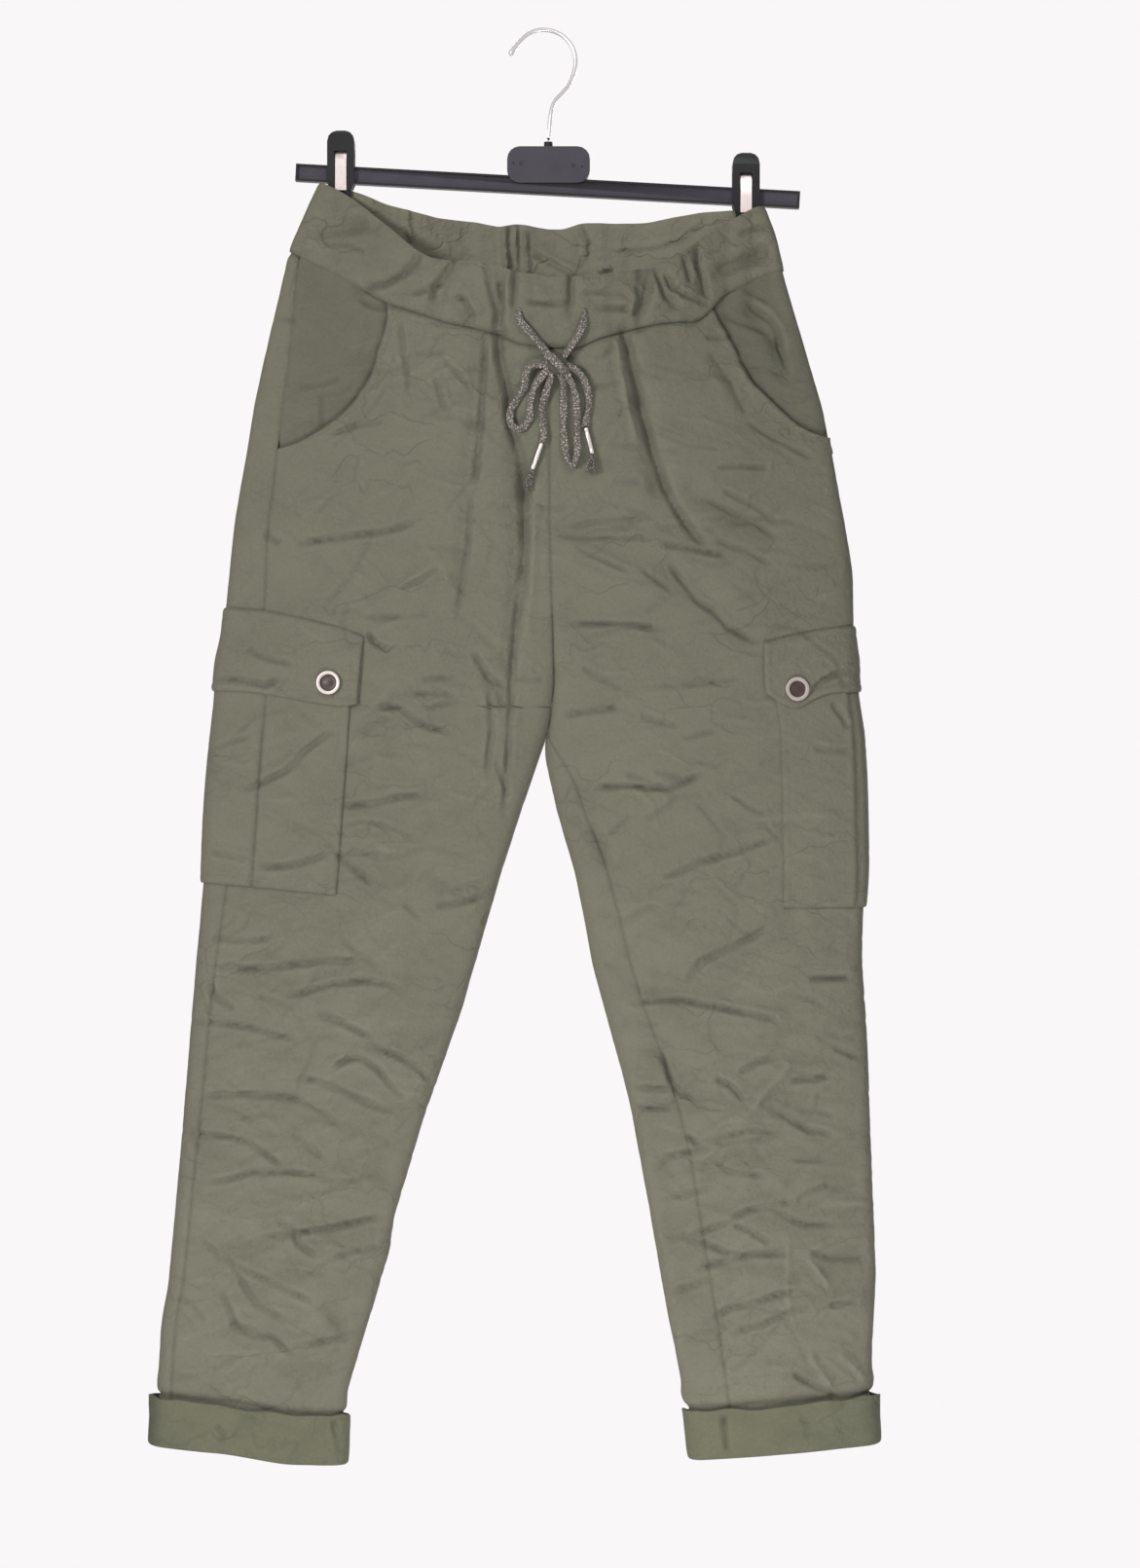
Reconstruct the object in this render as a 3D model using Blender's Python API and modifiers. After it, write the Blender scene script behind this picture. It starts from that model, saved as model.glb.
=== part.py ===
"""Cargo pants hanging from a clip hanger, as one solid for each piece that is cut and sewn.

Lengths in the tables are millimetres and the model is in metres, +Z up, with the front
towards -Y. The origin is where the hanger's hook bears. Right and left are the wearer's,
so the right leg lies at -X.

The cloth is a set of rings. A ring runs from the front centre (or the inner fold of a leg)
over the front to the outer fold and back over the rear. A turn of 0 is the centre or the
inner fold, 1 is the outer fold and 2 is the rear centre or the inner fold again.
"""

import math

import bmesh
import bpy
import numpy as np
from mathutils import Matrix, Vector

MM = 0.001
SEAM_GAP = 0.3
CLOTH = 1.6
BAND_CLOTH = 2.4
BAND_LIFT = 0.8
BAND_ROWS = 3
LAY_GAP = 0.65
FOLD_LENGTH = 9.0
TURN_STEP = 0.04
HEIGHT_STEP = 1.0

TOP_LEVEL = -190.0
LEVEL_FLAT = -405.0
HEM_LEVEL = -1004.0
HEM_TILT_FROM = -850.0

FRONT_COLUMNS = 14
REAR_COLUMNS = 10
# turns where every piece near the outer fold has a column
FOLD_TURNS = (0.86, 0.93, 1.0, 1.07, 1.14)

# the outer fold of each leg, from the waist's corner down to the hem; straight between
# the places where it turns
OUTER_FOLDS = {
    # side: (z, x)
    -1: (
        (-106.0, -157.0), (-118.0, -164.0), (-157.0, -181.0), (-260.0, -205.0),
        (-352.0, -220.5), (-464.0, -232.0), (-605.0, -242.5), (-820.0, -261.0),
        (-894.0, -267.5), (-921.0, -273.0), (-972.0, -275.5), (-1045.0, -280.0),
    ),
    1: (
        (-106.0, 151.0), (-123.0, 156.0), (-142.0, 164.5), (-173.0, 171.5),
        (-275.0, 201.5), (-352.0, 215.5), (-386.0, 221.0), (-464.0, 222.0),
        (-503.0, 227.0), (-600.0, 229.5), (-663.0, 227.5), (-719.0, 231.5),
        (-885.0, 237.5), (-961.0, 234.0), (-1045.0, 239.0),
    ),
}
# the centre seam down to the crotch, where it parts into the inner fold of each leg
CENTRE_SEAM = ((-352.0, 5.0), (-464.0, 8.0), (-492.0, 5.0), (-508.0, 1.0))
INNER_FOLDS = {
    # side: (z, x)
    -1: CENTRE_SEAM + (
        (-519.0, -3.0), (-600.0, -30.0), (-698.0, -58.0), (-775.0, -85.0),
        (-845.0, -106.0), (-870.0, -109.5), (-972.0, -140.0), (-1045.0, -142.0),
    ),
    1: CENTRE_SEAM + (
        (-519.0, 1.5), (-556.0, 9.5), (-600.0, 22.5), (-666.0, 35.0),
        (-746.0, 57.0), (-766.0, 62.0), (-921.0, 90.0), (-981.0, 102.0), (-1045.0, 108.0),
    ),
}

# how the ring stands away from the garment's middle plane
DEPTH = (
    # z, middle y, front bulge, rear bulge, fold half thickness, bulge power, centre open
    (-106.0, -4.8, 40.0, 18.0, 5.0, 3.0, 1.0),
    (-140.0, -4.8, 43.0, 19.0, 5.0, 3.0, 1.0),
    (-200.0, -3.5, 40.0, 20.0, 5.2, 2.0, 1.0),
    (-260.0, -1.5, 33.0, 22.0, 5.5, 1.3, 1.0),
    (-330.0, 0.0, 27.0, 24.0, 6.0, 1.0, 1.0),
    (-400.0, 0.0, 23.0, 24.0, 6.0, 0.9, 1.0),
    (-430.0, 0.0, 21.0, 24.0, 6.0, 0.8, 0.84),
    (-460.0, 0.0, 19.0, 23.0, 6.0, 0.7, 0.5),
    (-488.0, 0.0, 17.0, 22.0, 6.0, 0.65, 0.16),
    (-504.0, 0.0, 16.0, 21.0, 6.0, 0.65, 0.0),
    (-600.0, 0.0, 14.0, 18.0, 6.0, 0.65, 0.0),
    (-750.0, 0.0, 12.0, 13.0, 6.0, 0.65, 0.0),
    (-900.0, 0.0, 9.0, 10.0, 6.0, 0.65, 0.0),
    (-1045.0, 0.0, 8.0, 8.0, 6.0, 0.65, 0.0),
)

# how far each long seam lies from the fold beside it; more than 0 is on the front
SEAMS = (
    # z, right side seam, left side seam, right inseam, left inseam
    (-106.0, 6.0, 0.0, 0.0, 0.0),
    (-166.0, 9.0, 0.0, 0.0, 0.0),
    (-248.0, 19.5, 0.0, 0.0, 0.0),
    (-286.0, 21.0, 0.0, 0.0, 0.0),
    (-304.0, 22.5, 0.0, 0.0, 0.0),
    (-325.0, 24.0, -7.0, 0.0, 0.0),
    (-352.0, 25.0, -17.0, 0.0, 0.0),
    (-409.0, 28.0, -17.0, 0.0, 0.0),
    (-506.0, 24.0, -17.0, 0.0, 0.0),
    (-516.0, 23.5, -17.0, -1.0, 11.0),
    (-536.0, 22.0, -17.0, -4.0, 17.0),
    (-571.0, 19.5, -17.0, -8.0, 21.0),
    (-623.0, 17.0, -17.0, -10.0, 25.0),
    (-680.0, 14.0, -17.0, -12.0, 28.0),
    (-797.0, 12.0, -17.0, -12.0, 36.0),
    (-925.0, 10.6, -16.0, -12.0, 34.0),
    (-1045.0, 10.0, -15.0, -12.0, 27.0),
)

# the waistband's free edge and the seam under it, by x; the front sags between the clips
FRONT_EDGES = (
    # x, free edge z, seam z
    (-190.0, -108.6, -156.0),
    (-181.0, -108.6, -157.0),
    (-166.0, -108.6, -166.0),
    (-157.0, -109.0, -170.5),
    (-145.0, -115.0, -176.5),
    (-138.0, -119.0, -181.0),
    (-127.0, -127.0, -187.0),
    (-117.0, -136.0, -193.0),
    (-108.0, -143.0, -198.0),
    (-92.0, -158.0, -203.5),
    (-80.0, -166.0, -207.5),
    (-69.0, -168.0, -212.0),
    (-49.0, -170.0, -216.5),
    (-31.0, -174.0, -222.0),
    (-17.0, -179.0, -228.0),
    (5.0, -181.0, -231.0),
    (25.0, -181.5, -231.0),
    (40.0, -180.0, -224.0),
    (58.0, -176.5, -219.0),
    (72.0, -174.0, -215.0),
    (84.0, -171.5, -212.5),
    (97.0, -162.0, -211.0),
    (108.0, -153.0, -210.5),
    (118.0, -146.0, -203.0),
    (128.0, -139.5, -190.0),
    (142.0, -131.0, -184.0),
    (152.0, -125.6, -177.5),
    (170.0, -125.2, -171.5),
    (190.0, -125.2, -171.5),
)

REAR_EDGES = (
    # x, free edge z, seam z
    (-190.0, -108.6, -156.0),
    (-181.0, -108.6, -157.0),
    (-166.0, -108.6, -166.0),
    (-157.0, -109.0, -167.0),
    (-144.0, -111.5, -169.0),
    (-129.0, -116.0, -171.5),
    (-113.0, -122.5, -174.0),
    (-96.0, -126.5, -176.5),
    (-75.0, -131.5, -181.5),
    (-49.0, -133.5, -184.5),
    (-31.0, -137.0, -187.0),
    (-19.0, -134.0, -187.5),
    (3.0, -138.0, -188.0),
    (15.0, -138.0, -188.0),
    (28.0, -133.5, -187.0),
    (53.0, -134.5, -186.0),
    (74.0, -134.5, -185.0),
    (97.0, -131.0, -183.0),
    (113.0, -128.5, -181.0),
    (133.0, -127.5, -178.0),
    (144.0, -127.5, -178.0),
    (152.0, -125.6, -177.5),
    (170.0, -125.2, -171.5),
    (190.0, -125.2, -171.5),
)

# the line where each trouser leg turns up, by the share of the way from inner to outer fold
HEMS = (
    # share, right hem z, left hem z
    (0.0, -1017.0, -1013.5),
    (0.3, -1015.0, -1010.0),
    (0.6, -1007.5, -1006.5),
    (0.85, -1005.0, -1003.5),
    (1.0, -1003.0, -1002.0),
)

# curved mouth of each hip pocket: distance across the front from the centre seam
RIGHT_MOUTH = (
    # z, across
    (-190.0, 118.0),
    (-205.0, 114.5),
    (-219.0, 117.5),
    (-230.0, 122.0),
    (-243.0, 125.5),
    (-254.5, 130.5),
    (-267.0, 140.0),
    (-276.5, 150.0),
    (-287.5, 166.5),
    (-294.0, 179.0),
    (-299.0, 192.0),
    (-303.0, 230.0),
)
LEFT_MOUTH = (
    # z, across
    (-190.0, 112.0),
    (-205.0, 117.4),
    (-213.0, 123.0),
    (-227.0, 130.5),
    (-237.0, 134.7),
    (-252.0, 143.0),
    (-267.5, 160.0),
    (-279.5, 173.5),
    (-287.0, 186.0),
    (-291.5, 199.0),
    (-294.0, 230.0),
)
MOUTH_OVERLAP = 9.0
MOUTH_STEP_IN = 28.0
FACING_GAP = 1.5
FACING_DROP = 0.8

# rows of the leg panels, closer at the pocket mouths and at the crotch
LEVELS = (
    -190.0, -205.0, -220.0, -235.0, -250.0, -264.0, -278.0, -291.0, -303.0, -314.0,
    -337.0, -362.0, -388.0, -414.0, -440.0, -465.0, -488.0, -504.0, -511.0, -526.0,
    -550.0, -580.0, -606.0, -628.0, -652.0, -682.0, -714.0, -748.0, -782.0, -816.0, -850.0,
    -884.0, -918.0, -951.0, -980.0, HEM_LEVEL,
)
MOUTH_ROWS = 10

# soft folds of the cloth: each runs straight between two points; height below 0 is a trough
FRONT_FOLDS = (
    # x start, z start, x end, z end, half width, height
    (-31.0, -180.0, -31.0, -222.0, 5.0, -2.6),
    (-31.0, -222.0, -13.0, -330.0, 7.0, -3.6),
    (-13.0, -330.0, -22.0, -470.0, 7.0, -2.8),
    (-42.0, -222.0, -47.0, -285.0, 6.0, -2.0),
    (-47.0, -285.0, -58.0, -400.0, 7.0, -1.8),
    (59.0, -219.0, 69.0, -268.0, 7.0, -3.4),
    (69.0, -268.0, 83.0, -326.0, 7.0, -3.0),
    (83.0, -326.0, 108.0, -364.0, 8.0, -2.2),
    (149.0, -200.0, 168.0, -224.0, 6.0, -2.0),
    (168.0, -224.0, 172.0, -246.0, 6.0, -1.6),
    (20.0, -184.0, 20.0, -206.0, 4.0, -2.0),
    (72.0, -172.0, 70.0, -214.0, 5.5, -3.2),
    (-63.0, -168.0, -78.0, -200.0, 5.0, -2.6),
    (-60.0, -197.0, -51.0, -212.0, 4.0, -1.8),
    (84.0, -176.0, 93.0, -198.0, 5.0, -2.4),
    (110.0, -160.0, 113.0, -188.0, 5.0, -2.4),
    (-150.0, -142.0, -118.0, -140.0, 5.0, -1.6),
    (-129.0, -184.0, -92.0, -170.0, 6.0, -2.4),
    (124.0, -174.0, 158.0, -158.0, 5.0, -2.0),
    (-121.0, -411.0, -65.0, -383.0, 9.0, 2.0),
    (21.0, -357.0, 80.0, -349.0, 9.0, -1.8),
    (24.0, -372.0, 78.0, -398.0, 9.0, 2.0),
    (92.0, -383.0, 146.0, -432.0, 9.0, -2.0),
    (106.0, -330.0, 160.0, -358.0, 9.0, -2.0),
    (-128.0, -505.0, -75.0, -495.0, 9.0, 1.8),
    (-128.0, -552.0, -83.0, -546.0, 9.0, -2.0),
    (31.0, -540.0, 105.0, -533.0, 9.0, -1.8),
    (126.0, -600.0, 160.0, -578.0, 9.0, 1.8),
    (-223.0, -669.0, -127.0, -662.0, 10.0, -2.2),
    (-177.0, -693.0, -101.0, -680.0, 9.0, 2.0),
    (176.0, -632.0, 84.0, -682.0, 10.0, -2.4),
    (59.0, -691.0, 163.0, -703.0, 9.0, 2.0),
    (-208.0, -757.0, -113.0, -764.0, 10.0, -2.2),
    (83.0, -726.0, 109.0, -760.0, 9.0, -2.0),
    (174.0, -734.0, 144.0, -772.0, 9.0, 2.0),
    (-244.0, -790.0, -183.0, -811.0, 9.0, -2.0),
    (-182.0, -812.0, -130.0, -817.0, 9.0, 2.0),
    (90.0, -806.0, 160.0, -796.0, 9.0, -2.0),
    (-167.0, -856.0, -112.0, -846.0, 9.0, -2.0),
    (135.0, -846.0, 199.0, -821.0, 10.0, 2.2),
    (-220.0, -876.0, -155.0, -909.0, 9.0, 2.0),
    (151.0, -872.0, 230.0, -876.0, 9.0, -2.0),
    (-226.0, -916.0, -177.0, -946.0, 9.0, -2.0),
    (137.0, -909.0, 224.0, -905.0, 9.0, 1.8),
    (99.0, -935.0, 129.0, -913.0, 9.0, -1.8),
    (-177.0, -937.0, -140.0, -929.0, 9.0, 1.8),
)

REAR_FOLDS = (
    # x start, z start, x end, z end, half width, height
    (-27.0, -137.0, -27.0, -186.0, 4.0, -2.4),
    (-18.0, -134.0, -18.0, -186.0, 4.0, 2.2),
    (-4.0, -152.0, 30.0, -174.0, 5.0, 2.0),
    (40.0, -136.0, 42.0, -184.0, 5.0, -2.0),
    (66.0, -137.0, 64.0, -184.0, 5.0, 2.0),
    (-55.0, -135.0, -53.0, -182.0, 5.0, 2.0),
    (-80.0, -134.0, -77.0, -180.0, 5.0, -2.0),
    (90.0, -135.0, 87.0, -182.0, 5.0, -2.0),
    (-60.0, -190.0, -70.0, -300.0, 9.0, -2.6),
    (64.0, -190.0, 76.0, -310.0, 9.0, -2.6),
    (24.0, -200.0, 30.0, -300.0, 8.0, -2.2),
    (-24.0, -200.0, -30.0, -290.0, 8.0, 2.2),
    (-150.0, -380.0, -60.0, -420.0, 10.0, 2.4),
    (40.0, -430.0, 120.0, -390.0, 10.0, 2.4),
    (-150.0, -520.0, -60.0, -500.0, 10.0, -2.2),
    (40.0, -510.0, 110.0, -530.0, 10.0, -2.2),
    (-200.0, -660.0, -90.0, -690.0, 10.0, 2.2),
    (70.0, -690.0, 190.0, -660.0, 10.0, 2.2),
    (-210.0, -760.0, -120.0, -730.0, 10.0, -2.2),
    (90.0, -750.0, 190.0, -770.0, 10.0, -2.2),
    (-225.0, -850.0, -140.0, -870.0, 10.0, 2.0),
    (100.0, -880.0, 200.0, -850.0, 10.0, 2.0),
    (-240.0, -940.0, -170.0, -920.0, 10.0, -2.0),
    (120.0, -930.0, 200.0, -950.0, 10.0, -2.0),
)

# cargo pockets and flaps: distances from the outer fold, more than 0 on the front
POCKETS = {
    # front edge, rear edge, one pleat fold by distance and the other by turn, top z
    -1: {"front": 97.0, "rear": -63.0, "pleat": 36.0, "pleat_turn": 1.07, "top": -461.0},
    1: {"front": 59.0, "rear": -101.0, "pleat": -34.0, "pleat_turn": 0.93, "top": -461.0},
}
POCKET_BOTTOMS = (
    # distance from the outer fold, right z, left z
    (-110.0, -610.0, -624.0),
    (0.0, -607.0, -624.5),
    (45.0, -611.0, -625.0),
    (97.0, -616.0, -625.0),
)
POCKET_UNDER_FLAP = 0.17
POCKET_BELLY = 1.6
POCKET_CLOTH = 1.8
POCKET_MIDDLE = -540.0
BELLY_FADE = 18.0
PLEAT_DEPTH = 0.8
PLEAT_HALF = 3.5
# the least room between two columns of a laid piece, by distance and by turn
COLUMN_GAP = 3.0
COLUMN_TURN_GAP = 0.03
FLAP_EDGES = {
    -1: (
        # distance, top z, bottom z
        (-67.0, -416.0, -476.0),
        (-30.0, -412.0, -472.0),
        (0.0, -411.0, -470.5),
        (30.0, -413.5, -472.5),
        (60.0, -420.0, -477.5),
        (84.0, -426.0, -482.0),
        (97.0, -430.0, -482.5),
        (102.0, -434.0, -480.0),
    ),
    1: (
        # distance, top z, bottom z
        (-105.0, -426.0, -476.0),
        (-60.0, -422.0, -472.0),
        (0.0, -424.0, -471.5),
        (24.0, -427.0, -473.0),
        (34.0, -429.0, -478.0),
        (45.0, -431.5, -485.5),
        (56.0, -434.0, -482.0),
        (66.0, -437.0, -470.0),
    ),
}
FLAP_STEPS = {-1: (88.0, 72.0, 55.0), 1: (58.0, 48.0, 38.0, 27.0)}

# turned-up cuff, from its inner edge under the hem round to its free edge
CUFF_PROFILE = (
    # height over the hem, share of the stand-off, outer face, inner face
    (-0.8, 0.0, -CLOTH, 0.0),
    (-3.2, 0.0, -1.0, 0.6),
    (-5.2, 0.5, 0.6, 0.2),
    (-3.4, 1.0, 1.4, 0.1),
    (2.0, 1.0, 1.8, 0.0),
    (15.0, 1.0, 1.9, 0.1),
    (30.0, 1.25, 2.0, 0.2),
)
CUFF_STAND_OUTER = 3.2
CUFF_STAND_INNER = 1.0
CUFF_COLUMNS = 28

BUTTON_RADIUS = 8.5
BUTTON_PROFILE = (
    # distance from the axis, height over the cloth
    (0.0, 0.0),
    (7.4, 0.0),
    (8.5, 0.9),
    (8.5, 2.2),
    (7.6, 3.1),
    (6.2, 3.1),
    (5.2, 1.9),
    (0.0, 1.7),
)
BUTTONS = {-1: (81.0, -465.5), 1: (44.0, -470.0)}

CORD_RADIUS = 2.2
CORD_SPACING = 9.0
KNOT_CENTRE = (10.0, -243.0)
KNOT_RADII = (8.6, 5.2, 9.2)
KNOT_SLANT = Matrix.Rotation(math.radians(-38.0), 3, "Y")
KNOT_STAND_OFF = 7.6
KNOT_LEAD = 4.2
# drawstring runs by name: x, z and how far the middle line stands off the trousers
CORDS = {
    "drawstring_strand_right": (
        (-15.5, -213.5, 3.3), (-9.0, -220.5, 5.2), (-3.6, -227.4, 6.6),
    ),
    "drawstring_strand_left": (
        (29.0, -213.5, 3.3), (26.0, -221.0, 5.2), (21.8, -228.0, 6.6),
    ),
    "drawstring_loop_right": (
        (-8.4, -244.4, 6.2), (-12.0, -250.4, 5.0), (-12.8, -258.0, 4.4), (-17.0, -266.0, 3.8),
        (-22.6, -274.5, 3.8), (-22.0, -284.5, 4.0), (-14.5, -287.0, 4.4), (-9.4, -280.0, 4.8),
        (-8.8, -270.0, 5.0), (-5.6, -258.6, 6.0),
    ),
    "drawstring_tail_right": (
        (2.4, -262.4, 5.2), (-0.2, -272.0, 4.2), (0.2, -284.0, 3.8), (0.6, -291.0, 3.8),
        (-0.6, -297.2, 3.9),
    ),
    "drawstring_loop_left": (
        (14.6, -265.0, 5.2), (14.6, -278.0, 4.2), (14.8, -292.0, 4.0), (16.6, -305.5, 4.0),
        (20.6, -312.6, 4.0), (23.8, -306.0, 4.2), (24.2, -292.0, 4.4), (24.2, -277.0, 4.8),
        (22.8, -263.0, 5.8),
    ),
    "drawstring_tail_left": (
        (28.4, -252.6, 5.8), (31.8, -261.6, 4.8), (32.6, -271.0, 4.0), (30.8, -280.0, 3.8),
        (30.0, -286.0, 3.9),
    ),
}
# where each run meets the knot, in degrees round it: at the run's start, at its end
KNOT_ENDS = {
    "drawstring_strand_right": (None, 131.0),
    "drawstring_strand_left": (None, 52.0),
    "drawstring_loop_right": (180.0, 214.0),
    "drawstring_tail_right": (249.0, None),
    "drawstring_loop_left": (283.0, 317.0),
    "drawstring_tail_left": (346.0, None),
}
AGLET_RADIUS = 1.7
# name: start x and z, end x and z, stand-off
AGLETS = {
    "drawstring_aglet_right": (-0.8, -297.7, -7.4, -315.8, 4.0),
    "drawstring_aglet_left": (30.15, -287.0, 34.6, -304.8, 4.0),
}
TUFTS = {
    "drawstring_tuft_right": (-7.6, -316.5, -11.0, -329.0, 5.4),
    "drawstring_tuft_left": (34.8, -305.6, 33.4, -318.0, 4.8),
}
TUFT_LOBES = 6

BAR_LENGTH = 360.0
BAR_HEIGHT = 12.2
BAR_DEPTH = 7.0
BAR_CENTRE = (3.2, -110.4)
BAR_TILT = math.radians(3.14)
BAR_RIM = 2.2
BAR_CHANNEL = 2.2
BLOCK_SIZE = (59.0, 10.0, 26.0)
BLOCK_CENTRE = (3.8, -95.4)
BLOCK_ROUND = 9.0
COLLAR_RADIUS = 3.4
COLLAR_TOP = -78.6

HOOK_RADIUS = 1.75
HOOK_POINTS = (
    # x, z of the wire's middle line
    (3.6, -78.3), (4.4, -68.0), (5.8, -56.0), (8.6, -48.6), (14.2, -42.4), (19.6, -35.4),
    (22.6, -26.5), (22.9, -17.5), (20.2, -9.6), (14.6, -3.2), (7.4, 0.6), (0.0, 1.75),
    (-7.4, 0.6), (-13.4, -3.0), (-18.6, -8.8), (-22.0, -13.4), (-24.0, -17.0),
)
HOOK_STEPS = 3

CLIP_X = {"right": -144.2, "left": 144.6}
CLIP_WIDTH = 19.4
CLIP_TIP_WIDTH = 14.6
CLIP_SIDE = (
    # y, z over the bar's middle, down the front half of the clip from the top
    (-2.6, 31.5), (-5.2, 28.6), (-6.4, 23.0), (-6.4, -6.5), (-4.4, -13.0), (-4.4, -20.0),
    (-1.8, -20.0), (-1.8, -13.0), (-3.9, -7.5), (-3.9, 16.5), (-2.4, 18.2),
)
CLIP_FACE = (
    # x, z of half the outline seen from the front, from the top down
    (3.2, 31.5), (6.4, 30.2), (8.8, 27.2), (9.7, 23.0), (9.7, -6.5), (7.3, -12.5),
    (7.3, -19.0), (6.3, -20.5),
)
CLIP_WINDOW = (9.2, 16.6, -12.4)
SPRING_WIDTH = 8.2
SPRING_THICKNESS = 0.8
SPRING_PATH = (
    # y, z over the bar's middle, along the strip from the front leaf to the rear one
    (-5.3, -11.6), (-5.5, 0.0), (-5.2, 10.5), (-4.0, 14.6), (-1.9, 16.6), (1.9, 16.6),
    (4.0, 14.6), (5.2, 10.5), (5.5, 0.0), (5.3, -11.6),
)

COLOURS = {
    # name: colour, roughness, metallic
    "olive_cotton": ((0.118, 0.128, 0.075), 0.92, 0.0),
    "waistband_cotton": ((0.112, 0.122, 0.072), 0.92, 0.0),
    "facing_cotton": ((0.105, 0.116, 0.068), 0.93, 0.0),
    "cuff_cotton": ((0.110, 0.128, 0.072), 0.94, 0.0),
    "cord_lurex": ((0.150, 0.132, 0.095), 0.70, 0.15),
    "button_metal": ((0.56, 0.53, 0.49), 0.35, 1.0),
    "aglet_metal": ((0.72, 0.70, 0.66), 0.28, 1.0),
    "hanger_plastic": ((0.012, 0.012, 0.014), 0.42, 0.0),
    "hook_steel": ((0.66, 0.66, 0.66), 0.25, 1.0),
    "spring_steel": ((0.70, 0.68, 0.64), 0.30, 1.0),
}

SIDE_NAMES = {-1: "right", 1: "left"}


# ---------------------------------------------------------------- scene set-up

def clear_scene():
    for thing in list(bpy.data.objects):
        bpy.data.objects.remove(thing, do_unlink=True)


def new_collection(name):
    group = bpy.data.collections.new(name)
    bpy.context.scene.collection.children.link(group)
    return group


def material(name):
    found = bpy.data.materials.get(name)
    if found:
        return found
    colour, roughness, metallic = COLOURS[name]
    made = bpy.data.materials.new(name)
    made.use_nodes = True
    shader = made.node_tree.nodes["Principled BSDF"]
    shader.inputs["Base Color"].default_value = (*colour, 1.0)
    shader.inputs["Roughness"].default_value = roughness
    shader.inputs["Metallic"].default_value = metallic
    made.diffuse_color = (*colour, 1.0)
    return made


def add_object(name, data, material_name, group):
    thing = bpy.data.objects.new(name, data)
    data.materials.append(material(material_name))
    group.objects.link(thing)
    return thing


def finish_mesh(shape, name):
    bmesh.ops.recalc_face_normals(shape, faces=shape.faces)
    mesh = bpy.data.meshes.new(name)
    shape.to_mesh(mesh)
    shape.free()
    mesh.shade_smooth()
    mesh.set_sharp_from_angle(angle=math.radians(40.0))
    return mesh


# ---------------------------------------------------------------- the cloth's form

def read(rows, column, at):
    """Value of one column of a table, straight between its rows."""
    keys = np.array([row[0] for row in rows])
    values = np.array([row[column] for row in rows])
    order = np.argsort(keys)
    return np.interp(at, keys[order], values[order])


def ease(share):
    share = np.clip(share, 0.0, 1.0)
    return share * share * (3.0 - 2.0 * share)


def folds(rows, x, z):
    """Height of all the soft folds of a table at a point of the cloth."""
    total = np.zeros(np.broadcast(x, z).shape)
    for x0, z0, x1, z1, half_width, height in rows:
        run = np.hypot(x1 - x0, z1 - z0)
        along = ((x - x0) * (x1 - x0) + (z - z0) * (z1 - z0)) / (run * run)
        beside = ((x - x0) * (z1 - z0) - (z - z0) * (x1 - x0)) / run
        over = np.maximum(np.maximum(-along, along - 1.0) * run, 0.0)
        total = total + height * np.exp(-(beside ** 2 + over ** 2) / half_width ** 2)
    return total


def inner_x(side, z):
    return read(INNER_FOLDS[side], 1, z) + side * SEAM_GAP / 2.0


def outer_x(side, z):
    return read(OUTER_FOLDS[side], 1, z)


def ring_width(side, z):
    return np.abs(outer_x(side, z) - inner_x(side, z))


def fold_round(distance):
    """Rounded profile of a fold's edge, from 0 at the fold to 1 past its length."""
    share = np.clip(distance / FOLD_LENGTH, 0.0, 1.0)
    return np.sqrt(share * (2.0 - share))


def ring_point(side, turn, z):
    """Outer face of the cloth at a turn of the ring and a height."""
    turn, z = np.broadcast_arrays(np.asarray(turn, float), np.asarray(z, float))
    across = (1.0 - np.cos(math.pi * turn)) / 2.0
    start = inner_x(side, z)
    width = ring_width(side, z)
    x = start + side * width * across
    on_front = ((turn >= 0.0) & (turn <= 1.0)) | (turn > 2.0)

    middle = read(DEPTH, 1, z)
    bulge = np.where(on_front, read(DEPTH, 2, z), read(DEPTH, 3, z))
    fold = read(DEPTH, 4, z)
    power = read(DEPTH, 5, z)
    centre = read(DEPTH, 6, z)
    from_outer = width * (1.0 - across)
    from_inner = width * across

    leg = np.power(np.clip(4.0 * across * (1.0 - across), 0.0, 1.0), power)
    hip = np.power(np.clip(1.0 - across * across, 0.0, 1.0), power)
    inner_round = centre + (1.0 - centre) * fold_round(from_inner)
    depth = fold * fold_round(from_outer) * inner_round
    depth = depth + bulge * ((1.0 - centre) * leg + centre * hip)

    fade = ease(from_outer / 16.0) * (centre + (1.0 - centre) * ease(from_inner / 16.0))
    front_y = middle - depth - fade * folds(FRONT_FOLDS, x, z)
    rear_y = middle + depth + fade * folds(REAR_FOLDS, x, z)
    y = np.where(on_front, front_y, rear_y)
    return np.stack([x, y, z], axis=-1)


def ring_normal(side, turn, z):
    """Outward direction of the cloth, taken over a short stretch each way."""
    turn, z = np.broadcast_arrays(np.asarray(turn, float), np.asarray(z, float))
    before = turn - TURN_STEP
    after = turn + TURN_STEP
    at_centre = read(DEPTH, 6, z) > 0.0
    before = np.where(at_centre & (turn < 1.0), np.maximum(before, 0.0), before)
    after = np.where(at_centre & (turn > 1.0), np.minimum(after, 2.0), after)
    along = ring_point(side, after, z) - ring_point(side, before, z)
    up = ring_point(side, turn, z + HEIGHT_STEP) - ring_point(side, turn, z - HEIGHT_STEP)
    normal = np.cross(along, up) * side
    return normal / np.linalg.norm(normal, axis=-1, keepdims=True)


def cloth_point(side, turn, z, lift):
    """A point lifted off the cloth's outer face."""
    lift = np.asarray(lift, float)[..., None]
    return ring_point(side, turn, z) + ring_normal(side, turn, z) * lift


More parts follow.
